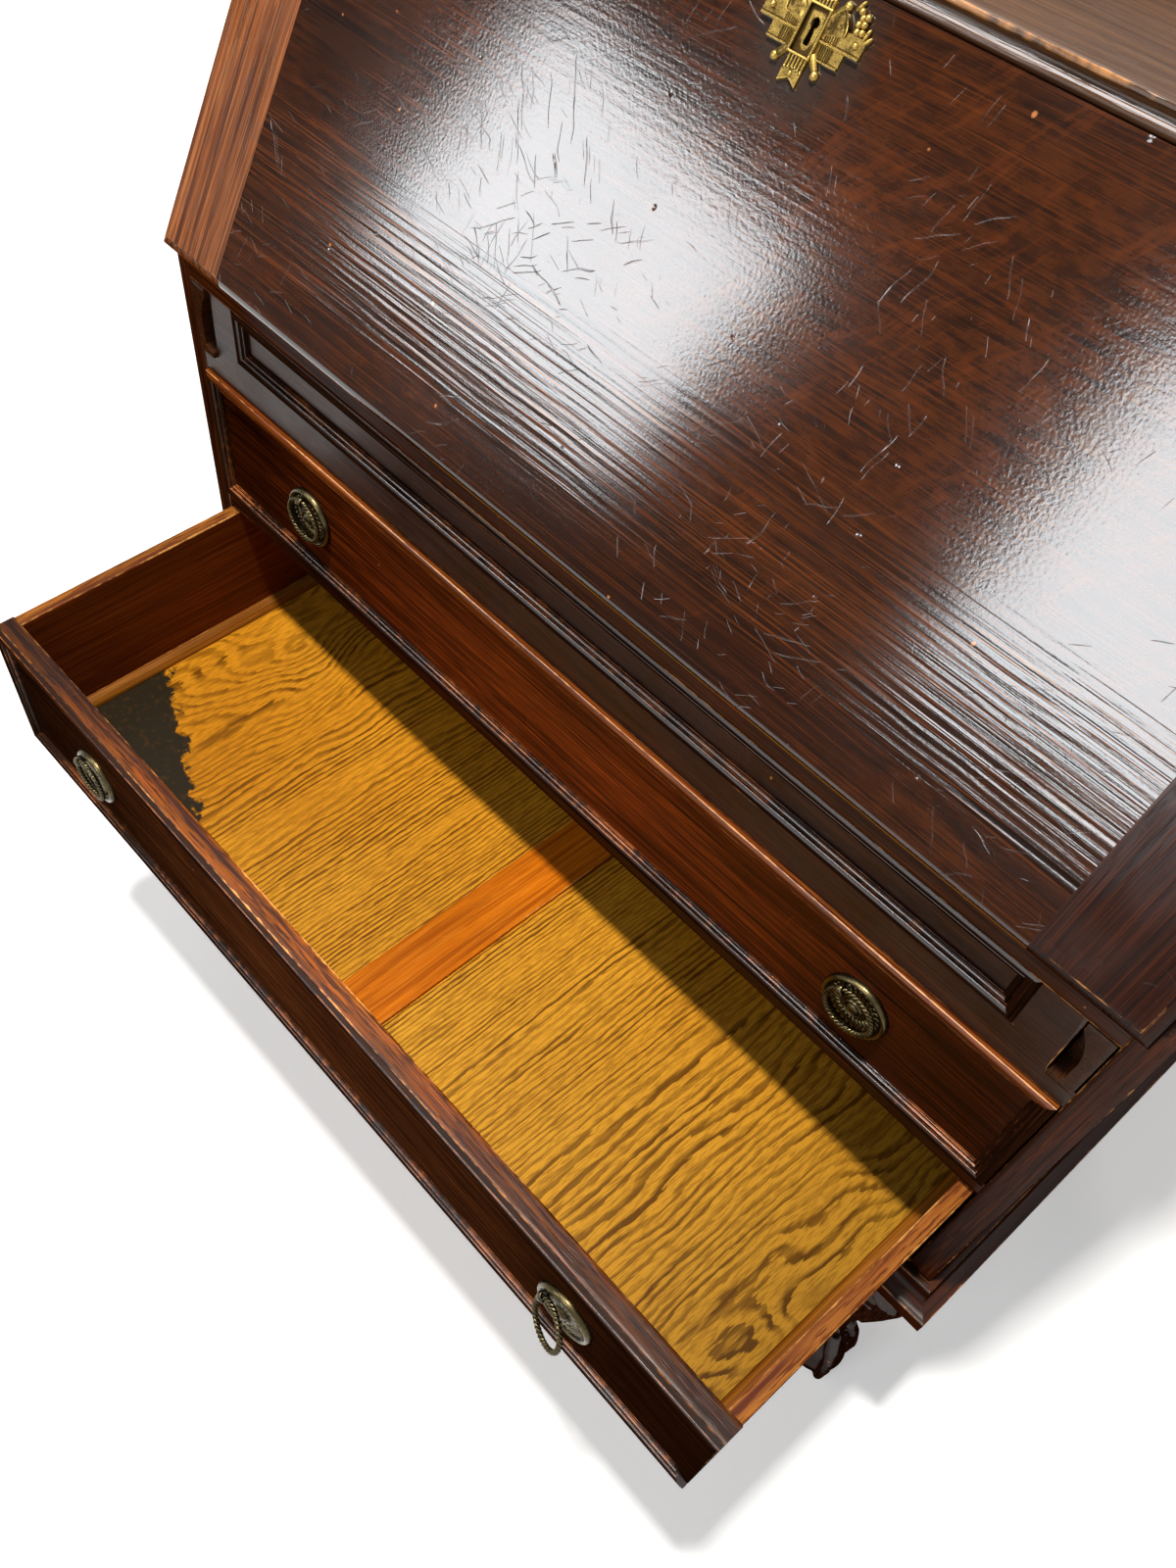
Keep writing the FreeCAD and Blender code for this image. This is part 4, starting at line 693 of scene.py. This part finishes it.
hinge_brass = old_brass("hinge_brass", (110, 84, 44), (176, 142, 76))
screw_brass = old_brass("screw_brass", (62, 46, 26), (116, 90, 50))
for node in ("hinge_bed_leaves", "hinge_fall_leaves", "hinge_pins", "lock_case", "lock_bolt"):
    frame["nodes"][node].data.materials.clear()
    frame["nodes"][node].data.materials.append(hinge_brass)


def repeater(name, values):
    """A geometry group with a named input for each value, its sockets and their identifiers."""
    group = bpy.data.node_groups.new(name, "GeometryNodeTree")
    group.interface.new_socket("Geometry", in_out="OUTPUT", socket_type="NodeSocketGeometry")
    names = {}
    for label, value in values.items():
        kind = "NodeSocketInt" if isinstance(value, int) else "NodeSocketFloat"
        names[label] = group.interface.new_socket(label, in_out="INPUT", socket_type=kind).identifier
    return group, group.nodes.new("NodeGroupInput").outputs, names


def repeated(group, names, values, material, **copying):
    """The mesh of all the copies a geometry group makes, in one material."""
    copies = put(group, "GeometryNodeInstanceOnPoints", **copying)
    made = put(group, "GeometryNodeRealizeInstances", in_0=copies.outputs[0])
    dressed = put(group, "GeometryNodeSetMaterial", in_Geometry=made.outputs[0], in_Material=material)
    put(group, "NodeGroupOutput", in_0=dressed.outputs[0])
    settings = {names[label]: value for label, value in values.items()}
    return modified(bpy.data.meshes.new(group.name), group.name, "NODES", node_group=group, **settings)


def screw_heads(heads, pitch, radius, depth, slot):
    """A row of slotted screw heads along X, their faces at the height of the origin."""
    values = {"Heads": heads, "Pitch": pitch, "Radius": radius, "Depth": depth, "Slot": slot}
    group, given, names = repeater("screw_heads", values)
    half_run = times(minus(given["Heads"], 1.0), given["Pitch"])
    row = put(group, "GeometryNodeMeshLine", in_Count=given["Heads"],
              in_Start_Location=joined(group, times(half_run, -0.5)), in_Offset=joined(group, given["Pitch"]))
    disc = put(group, "GeometryNodeMeshCylinder", in_Vertices=28, in_Radius=given["Radius"],
               in_Depth=given["Depth"])
    sunk = put(group, "GeometryNodeTransform", in_Geometry=disc.outputs[0],
               in_Translation=joined(group, z=times(given["Depth"], -0.5)))
    bar_size = joined(group, times(given["Radius"], 3.0), given["Slot"], given["Depth"])
    bar = put(group, "GeometryNodeMeshCube", in_Size=bar_size)
    nick = put(group, "GeometryNodeMeshBoolean", operation="DIFFERENCE", in_0=sunk.outputs[0],
               in_1=bar.outputs[0])
    turn = put(group, "FunctionNodeRandomValue", data_type="FLOAT", in_2=0.0, in_3=3.1, in_8=7)
    facing = put(group, "FunctionNodeEulerToRotation", in_0=joined(group, z=turn.outputs[1]))
    return repeated(group, names, values, screw_brass, in_Points=row.outputs[0], in_Instance=nick.outputs[0],
                    in_Rotation=facing.outputs[0])


def driven(name, body, rows):
    """Rows of screw heads, each turned and moved to its place, as one piece."""
    shape = bmesh.new()
    for row_mesh, place in rows:
        copy = row_mesh.copy()
        copy.transform(place)
        shape.from_mesh(copy)
        bpy.data.meshes.remove(copy)
    install(shape, name, (screw_brass,), body)


HEAD_PROUD = 0.0002
leaf_screws = screw_heads(3, 0.02, 0.0034, 0.001, 0.0008)
lock_screws = screw_heads(2, 0.05, 0.0026, 0.001, 0.0007)
fall_inside = Matrix.Translation(hinge_line) @ Matrix.Rotation(FALL_SLOPE + math.pi, 4, "X")
bed_rows = []
fall_rows = []
for middle in (-0.28, 0.28):
    bed_rows.append((leaf_screws, Matrix.Translation(hinge_line + Vector((middle, 0.022, HEAD_PROUD)))))
    fall_rows.append((leaf_screws, fall_inside @ Matrix.Translation((middle, -0.022, HEAD_PROUD))))
for rise in (0.278, 0.303):
    fall_rows.append((lock_screws, fall_inside @ Matrix.Translation((0.0, -rise, HEAD_PROUD))))
driven("bed_leaf_screws", "case", bed_rows)
driven("fall_leaf_and_lock_screws", "fall", fall_rows)

# Escutcheon: cast brass, with a raised keyhole frame over a fluted ribbon, crossed rods and stepped bars.
# A smooth petal and a spray of berries stand at each side of the frame; it is pinned to the face of the fall.
gold_brass = old_brass("gold_brass", (54, 40, 18), (156, 128, 66), rough=0.34, scale=140.0, proud=0.9)
black_brass = old_brass("black_brass", (26, 20, 12), (58, 46, 28), rough=0.55, scale=140.0)
FRAME_STEPS = ((7.0, 11.25, 0.0), (7.0, 11.25, 3.0), (6.7, 10.95, 3.5), (6.1, 10.35, 3.6), (5.7, 9.95, 3.3),
               (5.5, 9.75, 1.2))
BERRIES = ((20.5, 15.4), (22.5, 13.2), (24.8, 14.2), (21.8, 10.4), (24.6, 11.2), (22.6, 7.6),
           (25.4, 8.0), (25.4, 2.6))
LEAVES = ((29.8, 5.8, 52.0), (28.2, 8.2, 75.0), (18.6, 17.0, 60.0))
EYE_RISE = 3.6


def sheet(shape, across, along, point):
    """Faces through points that are given by their shares across and along."""
    rows = []
    for station in range(along + 1):
        rows.append([shape.verts.new(point(step / across, station / along)) for step in range(across + 1)])
    for first, second in zip(rows, rows[1:]):
        for step in range(across):
            shape.faces.new((first[step], first[step + 1], second[step + 1], second[step]))


def ribbon(shape, angle, start, finish, half, flutes, rise, notch=0.0, fluted=0.55):
    """A band lying out from the keyhole, fluted near it and plain beyond, its end cut to a swallow tail."""
    turn = math.radians(angle)

    def point(across, along):
        wide = 2 * across - 1
        out = start + (finish - start) * along - notch * along * (1 - abs(wide))
        flute = abs(math.sin(flutes * math.pi * across)) if along < fluted else 0.6
        lift = rise * (0.6 + 0.4 * flute) if 0 < across < 1 and along < 1 else 0.0
        return (half * wide * math.cos(turn) - out * math.sin(turn),
                half * wide * math.sin(turn) + out * math.cos(turn), lift)

    sheet(shape, 36, 20, point)


def wing(shape, side, reach, low, high, rise):
    """A flat bar beside the keyhole with a fillet along its lower edge and fine reeds next to the frame."""

    def point(across, along):
        x = 6.0 + (reach - 6.0) * across
        lift = rise
        if along < 0.2:
            lift += 0.6
        elif 8.5 < x < 16.0:
            lift -= 0.5 * abs(math.cos(math.pi * x / 1.25))
        if across == 1 or along in (0, 1):
            lift = 0.0
        return (side * x, low + (high - low) * along, lift)

    sheet(shape, 80, 20, point)


def petal(shape, side):
    """A smooth leaf that opens from the frame to a raised lip."""

    def point(across, along):
        near = Vector((6.9, 0.4 + 11.0 * along))
        lip = Vector((19.0 + 4.0 * along * (1 - along) - 7.2 * along * along, 3.0 + 12.2 * along))
        spot = near.lerp(lip, across)
        lift = 1.5 + 1.2 * math.sin(math.pi * along) + 0.4 * across + 0.5 * (across > 0.85)
        if across == 1 or along in (0, 1):
            lift = 0.3
        return (side * spot.x, spot.y, lift)

    sheet(shape, 18, 24, point)


def knob(shape, x, y, z, long, wide, tall, angle=0.0):
    """A rounded lobe: a berry, a leaf or the end of a rod."""
    place = Matrix.Translation((x, y, z)) @ Matrix.Rotation(math.radians(angle), 4, "Z")
    bmesh.ops.create_uvsphere(shape, u_segments=16, v_segments=10, radius=1.0,
                              matrix=place @ Matrix.Diagonal((long, wide, tall, 1.0)))


def keyhole_reach(angle):
    """How far the keyhole opens from the middle of its eye in one direction: an eye over a flared slot."""
    reach = 0.0
    while True:
        x = (reach + 0.05) * math.cos(angle)
        y = (reach + 0.05) * math.sin(angle)
        in_eye = math.hypot(x, y) < 2.4
        in_slot = -9.6 < y < 0 and abs(x) < 1.05 - 0.08 * y
        if not (in_eye or in_slot):
            return reach
        reach += 0.05


def frame_walk(half_wide, half_tall):
    """Points round a rectangle, twelve to a side."""
    corners = [(half_wide * x, half_tall * y) for x, y in ((1, -1), (1, 1), (-1, 1), (-1, -1))]
    points = []
    for number, start in enumerate(corners):
        finish = corners[(number + 1) % 4]
        for step in range(12):
            share = step / 12
            x = start[0] + (finish[0] - start[0]) * share
            y = start[1] + (finish[1] - start[1]) * share
            points.append((x, y))
    return points


def keyhole_frame(shape):
    """A raised rectangular frame, its sunk floor and the keyhole through it."""
    loops = []
    for half_wide, half_tall, rise in FRAME_STEPS:
        loops.append([shape.verts.new((*corner, rise)) for corner in frame_walk(half_wide, half_tall)])
    for rise in (1.1, 0.1):
        loop = []
        for x, y in frame_walk(*FRAME_STEPS[-1][:2]):
            angle = math.atan2(y - EYE_RISE, x)
            reach = keyhole_reach(angle)
            loop.append(shape.verts.new((reach * math.cos(angle), EYE_RISE + reach * math.sin(angle), rise)))
        loops.append(loop)
    for number, (first, second) in enumerate(zip(loops, loops[1:])):
        for face in bridged(shape, first, second):
            face.material_index = int(number > 3)


def settle(shape, name, matrix, materials, body, node):
    """Turns a shape made in millimetres about its own middle into a piece in its place."""
    bmesh.ops.transform(shape, matrix=matrix @ MILLIMETRES, verts=shape.verts)
    bmesh.ops.recalc_face_normals(shape, faces=shape.faces)
    mark_proud(shape, 1.5, 0.5)
    smoothed(shape, 0.9)
    install(shape, name, materials, body, node)


cast = bmesh.new()
ribbon(cast, 180.0, 10.0, 24.0, 5.8, 6, 2.1, 3.2)
ribbon(cast, 0.0, 10.0, 19.4, 5.8, 6, 2.1, 3.2)
knob(cast, 0.0, -18.6, 1.5, 1.3, 1.6, 1.2)
for side in (-1, 1):
    wing(cast, side, 22.0, -9.8, -2.2, 1.3)
    wing(cast, side, 30.2, -2.8, 6.6, 1.9)
    petal(cast, side)
    for angle in (40.0, 140.0):
        ribbon(cast, side * angle, 10.6, 20.4, 2.0, 1, 2.8, fluted=1.0)
        turn = math.radians(side * angle)
        knob(cast, -19.4 * math.sin(turn), 19.4 * math.cos(turn), 0.9, 2.5, 2.5, 2.3)
    for x, y in BERRIES:
        knob(cast, side * x, y, 1.5, 1.9, 1.9, 1.9)
    for x, y, angle in LEAVES:
        knob(cast, side * x, y, 1.4, 3.2, 1.1, 1.4, side * angle)
keyhole_frame(cast)
key_middle = hinge_line + Matrix.Rotation(FALL_SLOPE, 3, "X") @ Vector((0.0, KEY_RISE, FALL_THICK))
settle(cast, "cast_escutcheon", Matrix.Translation(key_middle) @ Matrix.Rotation(FALL_SLOPE, 4, "X"),
       (gold_brass, black_brass), "fall", "fall_escutcheon")

# Drawers: oak fronts with mitred strips, thinner sides and back, and bottoms of pale open-grained boards.
# The fronts are stained to match the case; the insides were left in the clean wood and have gone golden.
front_oak = oak("front_oak", ALONG_X, (34, 12, 4), (74, 30, 9), (134, 62, 20), lines=330.0, reach=0.05,
                shine=0.15, crown=(107, 57, 5))
front_tree = front_oak.node_tree
front_surface = front_tree.nodes["Principled BSDF"]
front_colour = front_surface.inputs["Base Color"].links[0].from_socket
front_place = split(own_place(front_tree))
# Painted grey sheen: the lower drawer's upright faces are greyed and cooled; the upper drawer and all upward
# faces are warmed instead.
spared_grey_sheen = most(ramped(front_place[2], 0.47, 0.49), ramped(facing_up(front_tree), 0.85, 0.95))
front_tint_and_grey_sheen = blended(spared_grey_sheen, (0.5, 0.72, 1.1, 1.0), (1.1, 1.0, 0.8, 1.0))
# Painted sheen: each front is brightened up to twice in the middle and dimmed towards its ends.
front_painted_sheen = ramped(sums("ABSOLUTE", front_place[0]), 0.08, 0.34, 2.0, 0.55)
front_shade = vectors("SCALE", vectors("MULTIPLY", front_colour, front_tint_and_grey_sheen), scale=front_painted_sheen)
fill(front_surface, in_Base_Color=front_shade)
lining_oak = oak("lining_oak", ALONG_Y, (84, 34, 8), (118, 54, 14), (150, 80, 28), gloss=0.45, shine=0.1,
                 bare=(200, 140, 70), crown=(166, 102, 38))


def drawer_floor_wood():
    """Bold dark grain on gold from front to back, wandering towards the ends; old ink in one corner."""
    material, tree, surface = new_material("drawer_floor_wood")
    place = own_place(tree)
    across, along = split(place)[:2]
    side = sums("ABSOLUTE", across)
    sway = minus(streaks(place, 8.0, 4.2, 1.0), 0.5)
    sway = times(sway, sums("MULTIPLY_ADD", sums("POWER", side, 2.0), 95.0, 2.0))
    spread = times(streaks(place, 18.0, 0.8, 1.0, 1.0), 6.0)
    ragged = times(streaks(place, 300.0, 45.0, 1.0), 0.9)
    widening = times(side, sums("MULTIPLY_ADD", side, -1.05, 1.0))
    curl = minus(streaks(place, 15.0, 10.0, 1.0, 1.0), 0.5)
    curled = plus(ramped(across, -0.18, -0.37, 0.0, 13.0), ramped(across, 0.2, 0.37, 0.0, 5.0))
    sway = plus(sway, times(curl, curled))
    share = sums("FRACT", sums("MULTIPLY_ADD", widening, 280.0, plus(sway, plus(spread, ragged))))
    late = times(ramped(share, 0.46, 0.72), ramped(share, 1.0, 0.94))
    late = times(late, ramped(streaks(place, 90.0, 4.0, 1.0), 0.35, 0.62, 0.3, 1.0))
    flecks = ramped(streaks(place, 1300.0, 90.0, 1.0), 0.48, 0.62)
    gold = ramped(streaks(place, 4.0, 2.0, 1.0), 0.3, 0.7)
    colour = blended(gold, stain(192, 122, 16), stain(222, 160, 44))
    colour = blended(times(late, 0.9), colour, stain(84, 46, 5))
    colour = blended(times(flecks, 0.5), colour, stain(112, 60, 5))
    # Painted shade: the floor is darkened towards its right side, and more so at the right end.
    painted_shade_to_right = times(ramped(across, 0.02, 0.3, 1.05, 0.78), ramped(across, 0.27, 0.395, 1.0, 0.6))
    colour = vectors("SCALE", colour, scale=painted_shade_to_right)
    torn = times(minus(clouds(place, 55.0, 4.0, 0.65), 0.5), 0.06)
    edge = sums("MULTIPLY_ADD", across, 0.48, plus(along, torn))
    ink = times(ramped(edge, -0.37, -0.374), ramped(clouds(place, 170.0, 3.0), 0.3, 0.45, 0.95, 1.0))
    colour = blended(ink, colour, stain(40, 32, 20))
    bump = bumped(plus(late, times(flecks, 0.4)), 0.04, 0.0002)
    fill(surface, in_Base_Color=colour, in_Roughness=ramped(late, 0.0, 1.0, 0.5, 0.4), in_Normal=bump,
         in_Specular_IOR_Level=0.06)
    return material


floor_wood = drawer_floor_wood()
muntin_wood = oak("muntin_wood", ALONG_Y, (158, 76, 4), (204, 108, 10), (222, 134, 34), lines=240.0,
                  gloss=0.45, shine=0.04, bare=(216, 150, 70), relief=0.1)
STRIPS_KEPT = {"upper_drawer": ("top", "bottom", "left", "right"), "lower_drawer": ("top", "bottom", "left")}
for stem, sides in STRIPS_KEPT.items():
    worn_board(f"{stem}_front", stem, front_oak, longest=0.05)
    for side in ("left_side", "right_side"):
        worn_board(f"{stem}_{side}", stem, lining_oak)
    worn_board(f"{stem}_back", stem, lining_oak, longest=0.05)
    moulding_strips(stem, stem, sides)
worn_board("upper_drawer_bottom", "upper_drawer", floor_wood)
worn_board("lower_drawer_bottom_left", "lower_drawer", floor_wood)
worn_board("lower_drawer_bottom_right", "lower_drawer", floor_wood)
worn_board("lower_drawer_muntin", "lower_drawer", muntin_wood)
bead_oak = oak("bead_oak", ALONG_Y, (112, 62, 12), (150, 90, 24), (182, 118, 42), gloss=0.45, shine=0.1)
worn_board("lower_drawer_beads", "lower_drawer", bead_oak, longest=0.05, soften=0.0003, spread=0.002)

# Ring pulls: a stamped round plate on a stud, with a cast ring hung from a lug at its edge.
# The brass has been bronzed and has gone nearly black in the hollows.
pull_bronze = old_brass("pull_bronze", (20, 16, 10), (80, 70, 46), rough=0.34, scale=120.0, proud=0.7)
PLATE_PROFILE = (
    (24.4, 0.0), (24.4, 1.6), (23.9, 3.4), (23.0, 4.4), (22.1, 4.6), (21.2, 4.3), (20.7, 3.3), (20.2, 2.5),
    (19.4, 2.3), (10.0, 2.3), (9.0, 2.6), (8.2, 3.2), (7.5, 3.3), (7.0, 4.2), (6.3, 4.7), (5.6, 4.3),
    (5.2, 3.7), (4.6, 4.0), (3.8, 5.0), (2.6, 5.7), (1.3, 5.95),
)
RING_RADIUS = 17.5
RING_WIRE = 2.2
RING_STANDOFF = 7.4


def petal_wreath(petals, radius, length, width, height):
    """Equal petals set round a circle, each lying along its own radius."""
    values = {"Petals": petals, "Radius": radius, "Length": length, "Width": width, "Height": height}
    group, given, names = repeater("petal_wreath", values)
    ring = put(group, "GeometryNodeMeshCircle", in_Vertices=given["Petals"], in_Radius=given["Radius"])
    step = sums("DIVIDE", 2 * math.pi, given["Petals"])
    angle = times(put(group, "GeometryNodeInputIndex").outputs[0], step)
    turn = put(group, "FunctionNodeEulerToRotation", in_0=joined(group, z=angle))
    size = joined(group, times(given["Length"], 0.5), times(given["Width"], 0.5), given["Height"])
    leaf = put(group, "GeometryNodeMeshUVSphere", in_Segments=12, in_Rings=8, in_Radius=1.0)
    return repeated(group, names, values, pull_bronze, in_Points=ring.outputs[0], in_Instance=leaf.outputs[0],
                    in_Rotation=turn.outputs[0], in_Scale=size)


def swept_loop(shape, stations, sections, point):
    """A closed tube: every station is a ring of points, and the last station joins the first."""
    rows = []
    for station in range(stations):
        rows.append([shape.verts.new(point(station / stations, step / sections)) for step in range(sections)])
    for station in range(stations):
        first, second = rows[station], rows[(station + 1) % stations]
        for step in range(sections):
            after = (step + 1) % sections
            shape.faces.new((first[step], second[step], second[after], first[after]))


def pull_stand(node_box, side, turn):
    """Where a pull sits on its drawer front, its lug turned from the upright."""
    across = node_box[1][0] - 0.0245 if side == "right" else node_box[0][0] + 0.0245
    stand = Matrix.Translation((across, node_box[1][1] - 0.011, (node_box[0][2] + node_box[1][2]) / 2))
    return stand @ Matrix.Rotation(-math.radians(turn), 4, "Y") @ Matrix.Rotation(math.pi / 2, 4, "X")


def lug_point(around, across):
    """The eye of the lug: a flat loop wrapped round the ring's wire."""
    angle = 2 * math.pi * around
    side = 2 * math.pi * across
    reach = 3.45 + 0.75 * math.cos(side)
    return (2.4 * math.sin(side), RING_RADIUS + reach * math.cos(angle),
            RING_STANDOFF + reach * math.sin(angle))


def ring_point(around, across):
    """The ring: a rope of three strands bent into a circle."""
    angle = 2 * math.pi * around
    side = 2 * math.pi * across
    wire = RING_WIRE * (0.85 + 0.15 * math.cos(3 * side + 36 * angle))
    reach = RING_RADIUS + wire * math.cos(side)
    return (reach * math.sin(angle), reach * math.cos(angle), wire * math.sin(side))


def rosette_plate(petals):
    """A plate in millimetres with its wreath of petals, the lug and the stud under the lug."""
    plate = bmesh.new()
    rows = []
    for radius, rise in PLATE_PROFILE:
        rows.append(circle(plate, radius, 96, lambda x, y: (x, y, rise)))
    stacked(plate, rows)
    plate.from_mesh(petals)
    for vert in plate.verts[-len(petals.vertices):]:
        vert.co.z += 2.2
    swept_loop(plate, 40, 16, lug_point)
    bmesh.ops.create_cone(plate, segments=20, radius1=2.6, radius2=1.9, depth=2.4, cap_ends=True,
                          matrix=Matrix.Translation((0.0, RING_RADIUS, 2.9)))
    return plate


petals = petal_wreath(26, 14.6, 9.6, 3.7, 1.5)
PULL_TURNS = {("upper", "left"): 4.0, ("upper", "right"): 36.0, ("lower", "left"): 40.0,
              ("lower", "right"): 58.0}
RING_LIFT = {("lower", "right"): 26.0}
for tier in ("upper", "lower"):
    plates_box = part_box(f"{tier}_drawer_pull_plates")
    both = bmesh.new()
    for side in ("left", "right"):
        stand = pull_stand(plates_box, side, PULL_TURNS[(tier, side)])
        plate = rosette_plate(petals)
        bmesh.ops.transform(plate, matrix=stand @ MILLIMETRES, verts=plate.verts)
        made = bpy.data.meshes.new("pull_plate")
        plate.to_mesh(made)
        plate.free()
        both.from_mesh(made)
        bpy.data.meshes.remove(made)
        ring = bmesh.new()
        swept_loop(ring, 432, 18, ring_point)
        hang = Matrix.Translation((0.0, RING_RADIUS, RING_STANDOFF))
        hang = hang @ Matrix.Rotation(-math.radians(RING_LIFT.get((tier, side), 0.0)), 4, "X")
        hang = hang @ Matrix.Translation((0.0, -RING_RADIUS, 0.0))
        hang = stand @ MILLIMETRES @ hang @ MILLIMETRES.inverted()
        settle(ring, f"{tier}_{side}_rope_ring", hang, (pull_bronze,), f"{tier}_{side}_ring",
               f"{tier}_{side}_ring")
    settle(both, f"{tier}_rosette_plates", MILLIMETRES.inverted(), (pull_bronze,), f"{tier}_drawer",
           f"{tier}_drawer_pull_plates")

# Stage: a plain pale floor, a high key light in front, and soft panels that show in the polish of the fall.
# The room is pale all round but for one dark curtain in front and to the left, which keeps the polish deep.
floor_mesh = bpy.data.meshes.new("floor")
floor_mesh.from_pydata([(-9, -9, 0), (9, -9, 0), (9, 9, 0), (-9, 9, 0)], [], [(0, 1, 2, 3)])
floor = added("floor", floor_mesh)
floor_paint, paint, floor_surface = new_material("floor_paint")
seen = put(paint, "ShaderNodeLightPath").outputs
looked_at = most(seen["Is Camera Ray"], seen["Is Glossy Ray"])
looked_at = most(looked_at, seen["Is Transmission Ray"])
glow = ramped(vectors("LENGTH", own_place(paint), output=1), 1.2, 3.5, 0.42, 1.0)
fill(floor_surface, in_Base_Color=(0.8, 0.8, 0.8, 1.0), in_Roughness=0.9,
     in_Emission_Color=(1.0, 1.0, 1.0, 1.0), in_Emission_Strength=times(looked_at, glow))
floor_mesh.materials.append(floor_paint)


def lamp_panel(name, position, target, width, height, power, colour, gleam=False):
    """A soft panel; a gleam lies just behind another panel and only shows in polish."""
    lamp = bpy.data.lights.new(name, "AREA")
    lamp.shape = "RECTANGLE"
    lamp.size = width
    lamp.size_y = height
    lamp.energy = power
    lamp.color = colour
    holder = added(name, lamp)
    holder.location = position
    holder.rotation_euler = (Vector(target) - Vector(position)).to_track_quat("-Z", "Y").to_euler()
    if gleam:
        holder.visible_diffuse = False
        holder.location += (Vector(position) - Vector(target)).normalized() * 0.01


COOL = (0.93, 0.97, 1.0)
LEFT_WINDOW = ((-1.382, -1.696, 1.493), (-0.045, -0.056, 0.92), 0.69, 0.55)
FRONT_WINDOW = ((-0.033, -2.071, 1.725), (0.225, -0.046, 0.803), 0.73, 0.72)
HIGH_WINDOW = ((-0.8, -0.75, 2.78), (0.1, 0.05, 0.9), 1.6, 1.2)
lamp_panel("key_light", (0.0, -0.72, 4.3), (0.0, -0.05, 0.36), 0.2, 0.2, 185.0, (1.0, 0.97, 0.92))
lamp_panel("left_window", *LEFT_WINDOW, 8.0, COOL)
lamp_panel("left_window_gleam", *LEFT_WINDOW, 8.5, COOL, gleam=True)
lamp_panel("front_window", *FRONT_WINDOW, 11.0, COOL)
lamp_panel("front_window_gleam", *FRONT_WINDOW, 12.0, COOL, gleam=True)
lamp_panel("high_window_gleam", *HIGH_WINDOW, 54.0, COOL, gleam=True)
lamp_panel("back_fill", (-1.6, 1.9, 3.4), (0.0, 0.1, 0.7), 1.6, 1.6, 16.0, (1.0, 0.93, 0.84))
world = bpy.data.worlds.new("studio")
bpy.context.scene.world = world
world.use_nodes = True
sky = world.node_tree
toward = split(put(sky, "ShaderNodeTexCoord").outputs["Generated"])
round_about = sums("ARCTAN2", toward[0], times(toward[1], -1.0))
curtain = times(ramped(round_about, -1.3, -1.05), ramped(round_about, 0.35, 0.1))
curtain = times(times(curtain, ramped(toward[2], 0.03, 0.09)), ramped(toward[2], 0.72, 0.56))
path = put(sky, "ShaderNodeLightPath").outputs
mirrored = times(path["Is Glossy Ray"], ramped(curtain, 0.0, 1.0, 1.0, 0.03))
seen_sky = most(path["Is Camera Ray"], path["Is Transmission Ray"])
seen_sky = most(seen_sky, most(mirrored, 0.08))
fill(sky.nodes["Background"], in_Strength=seen_sky, in_Color=(1.0, 1.0, 1.0, 1.0))

# Camera: high over the right end of the front, looking down and to the left, as someone would stand
# to look into the open drawer.
camera = bpy.data.cameras.new("camera")
camera.lens = 30.26
camera.shift_x = 0.0592
camera.shift_y = 0.0634
camera.clip_start = 0.01
viewer = added("camera", camera)
right = Vector((0.65449, 0.75522, 0.03596))
up = Vector((-0.64704, 0.53487, 0.54337))
away = Vector((0.39113, -0.3789, 0.83872))
turned = Matrix((right, up, away)).transposed().to_4x4()
viewer.matrix_world = Matrix.Translation((0.40073, -0.52194, 1.2552)) @ turned
bpy.context.scene.camera = viewer
bpy.context.scene.view_settings.view_transform = "Standard"
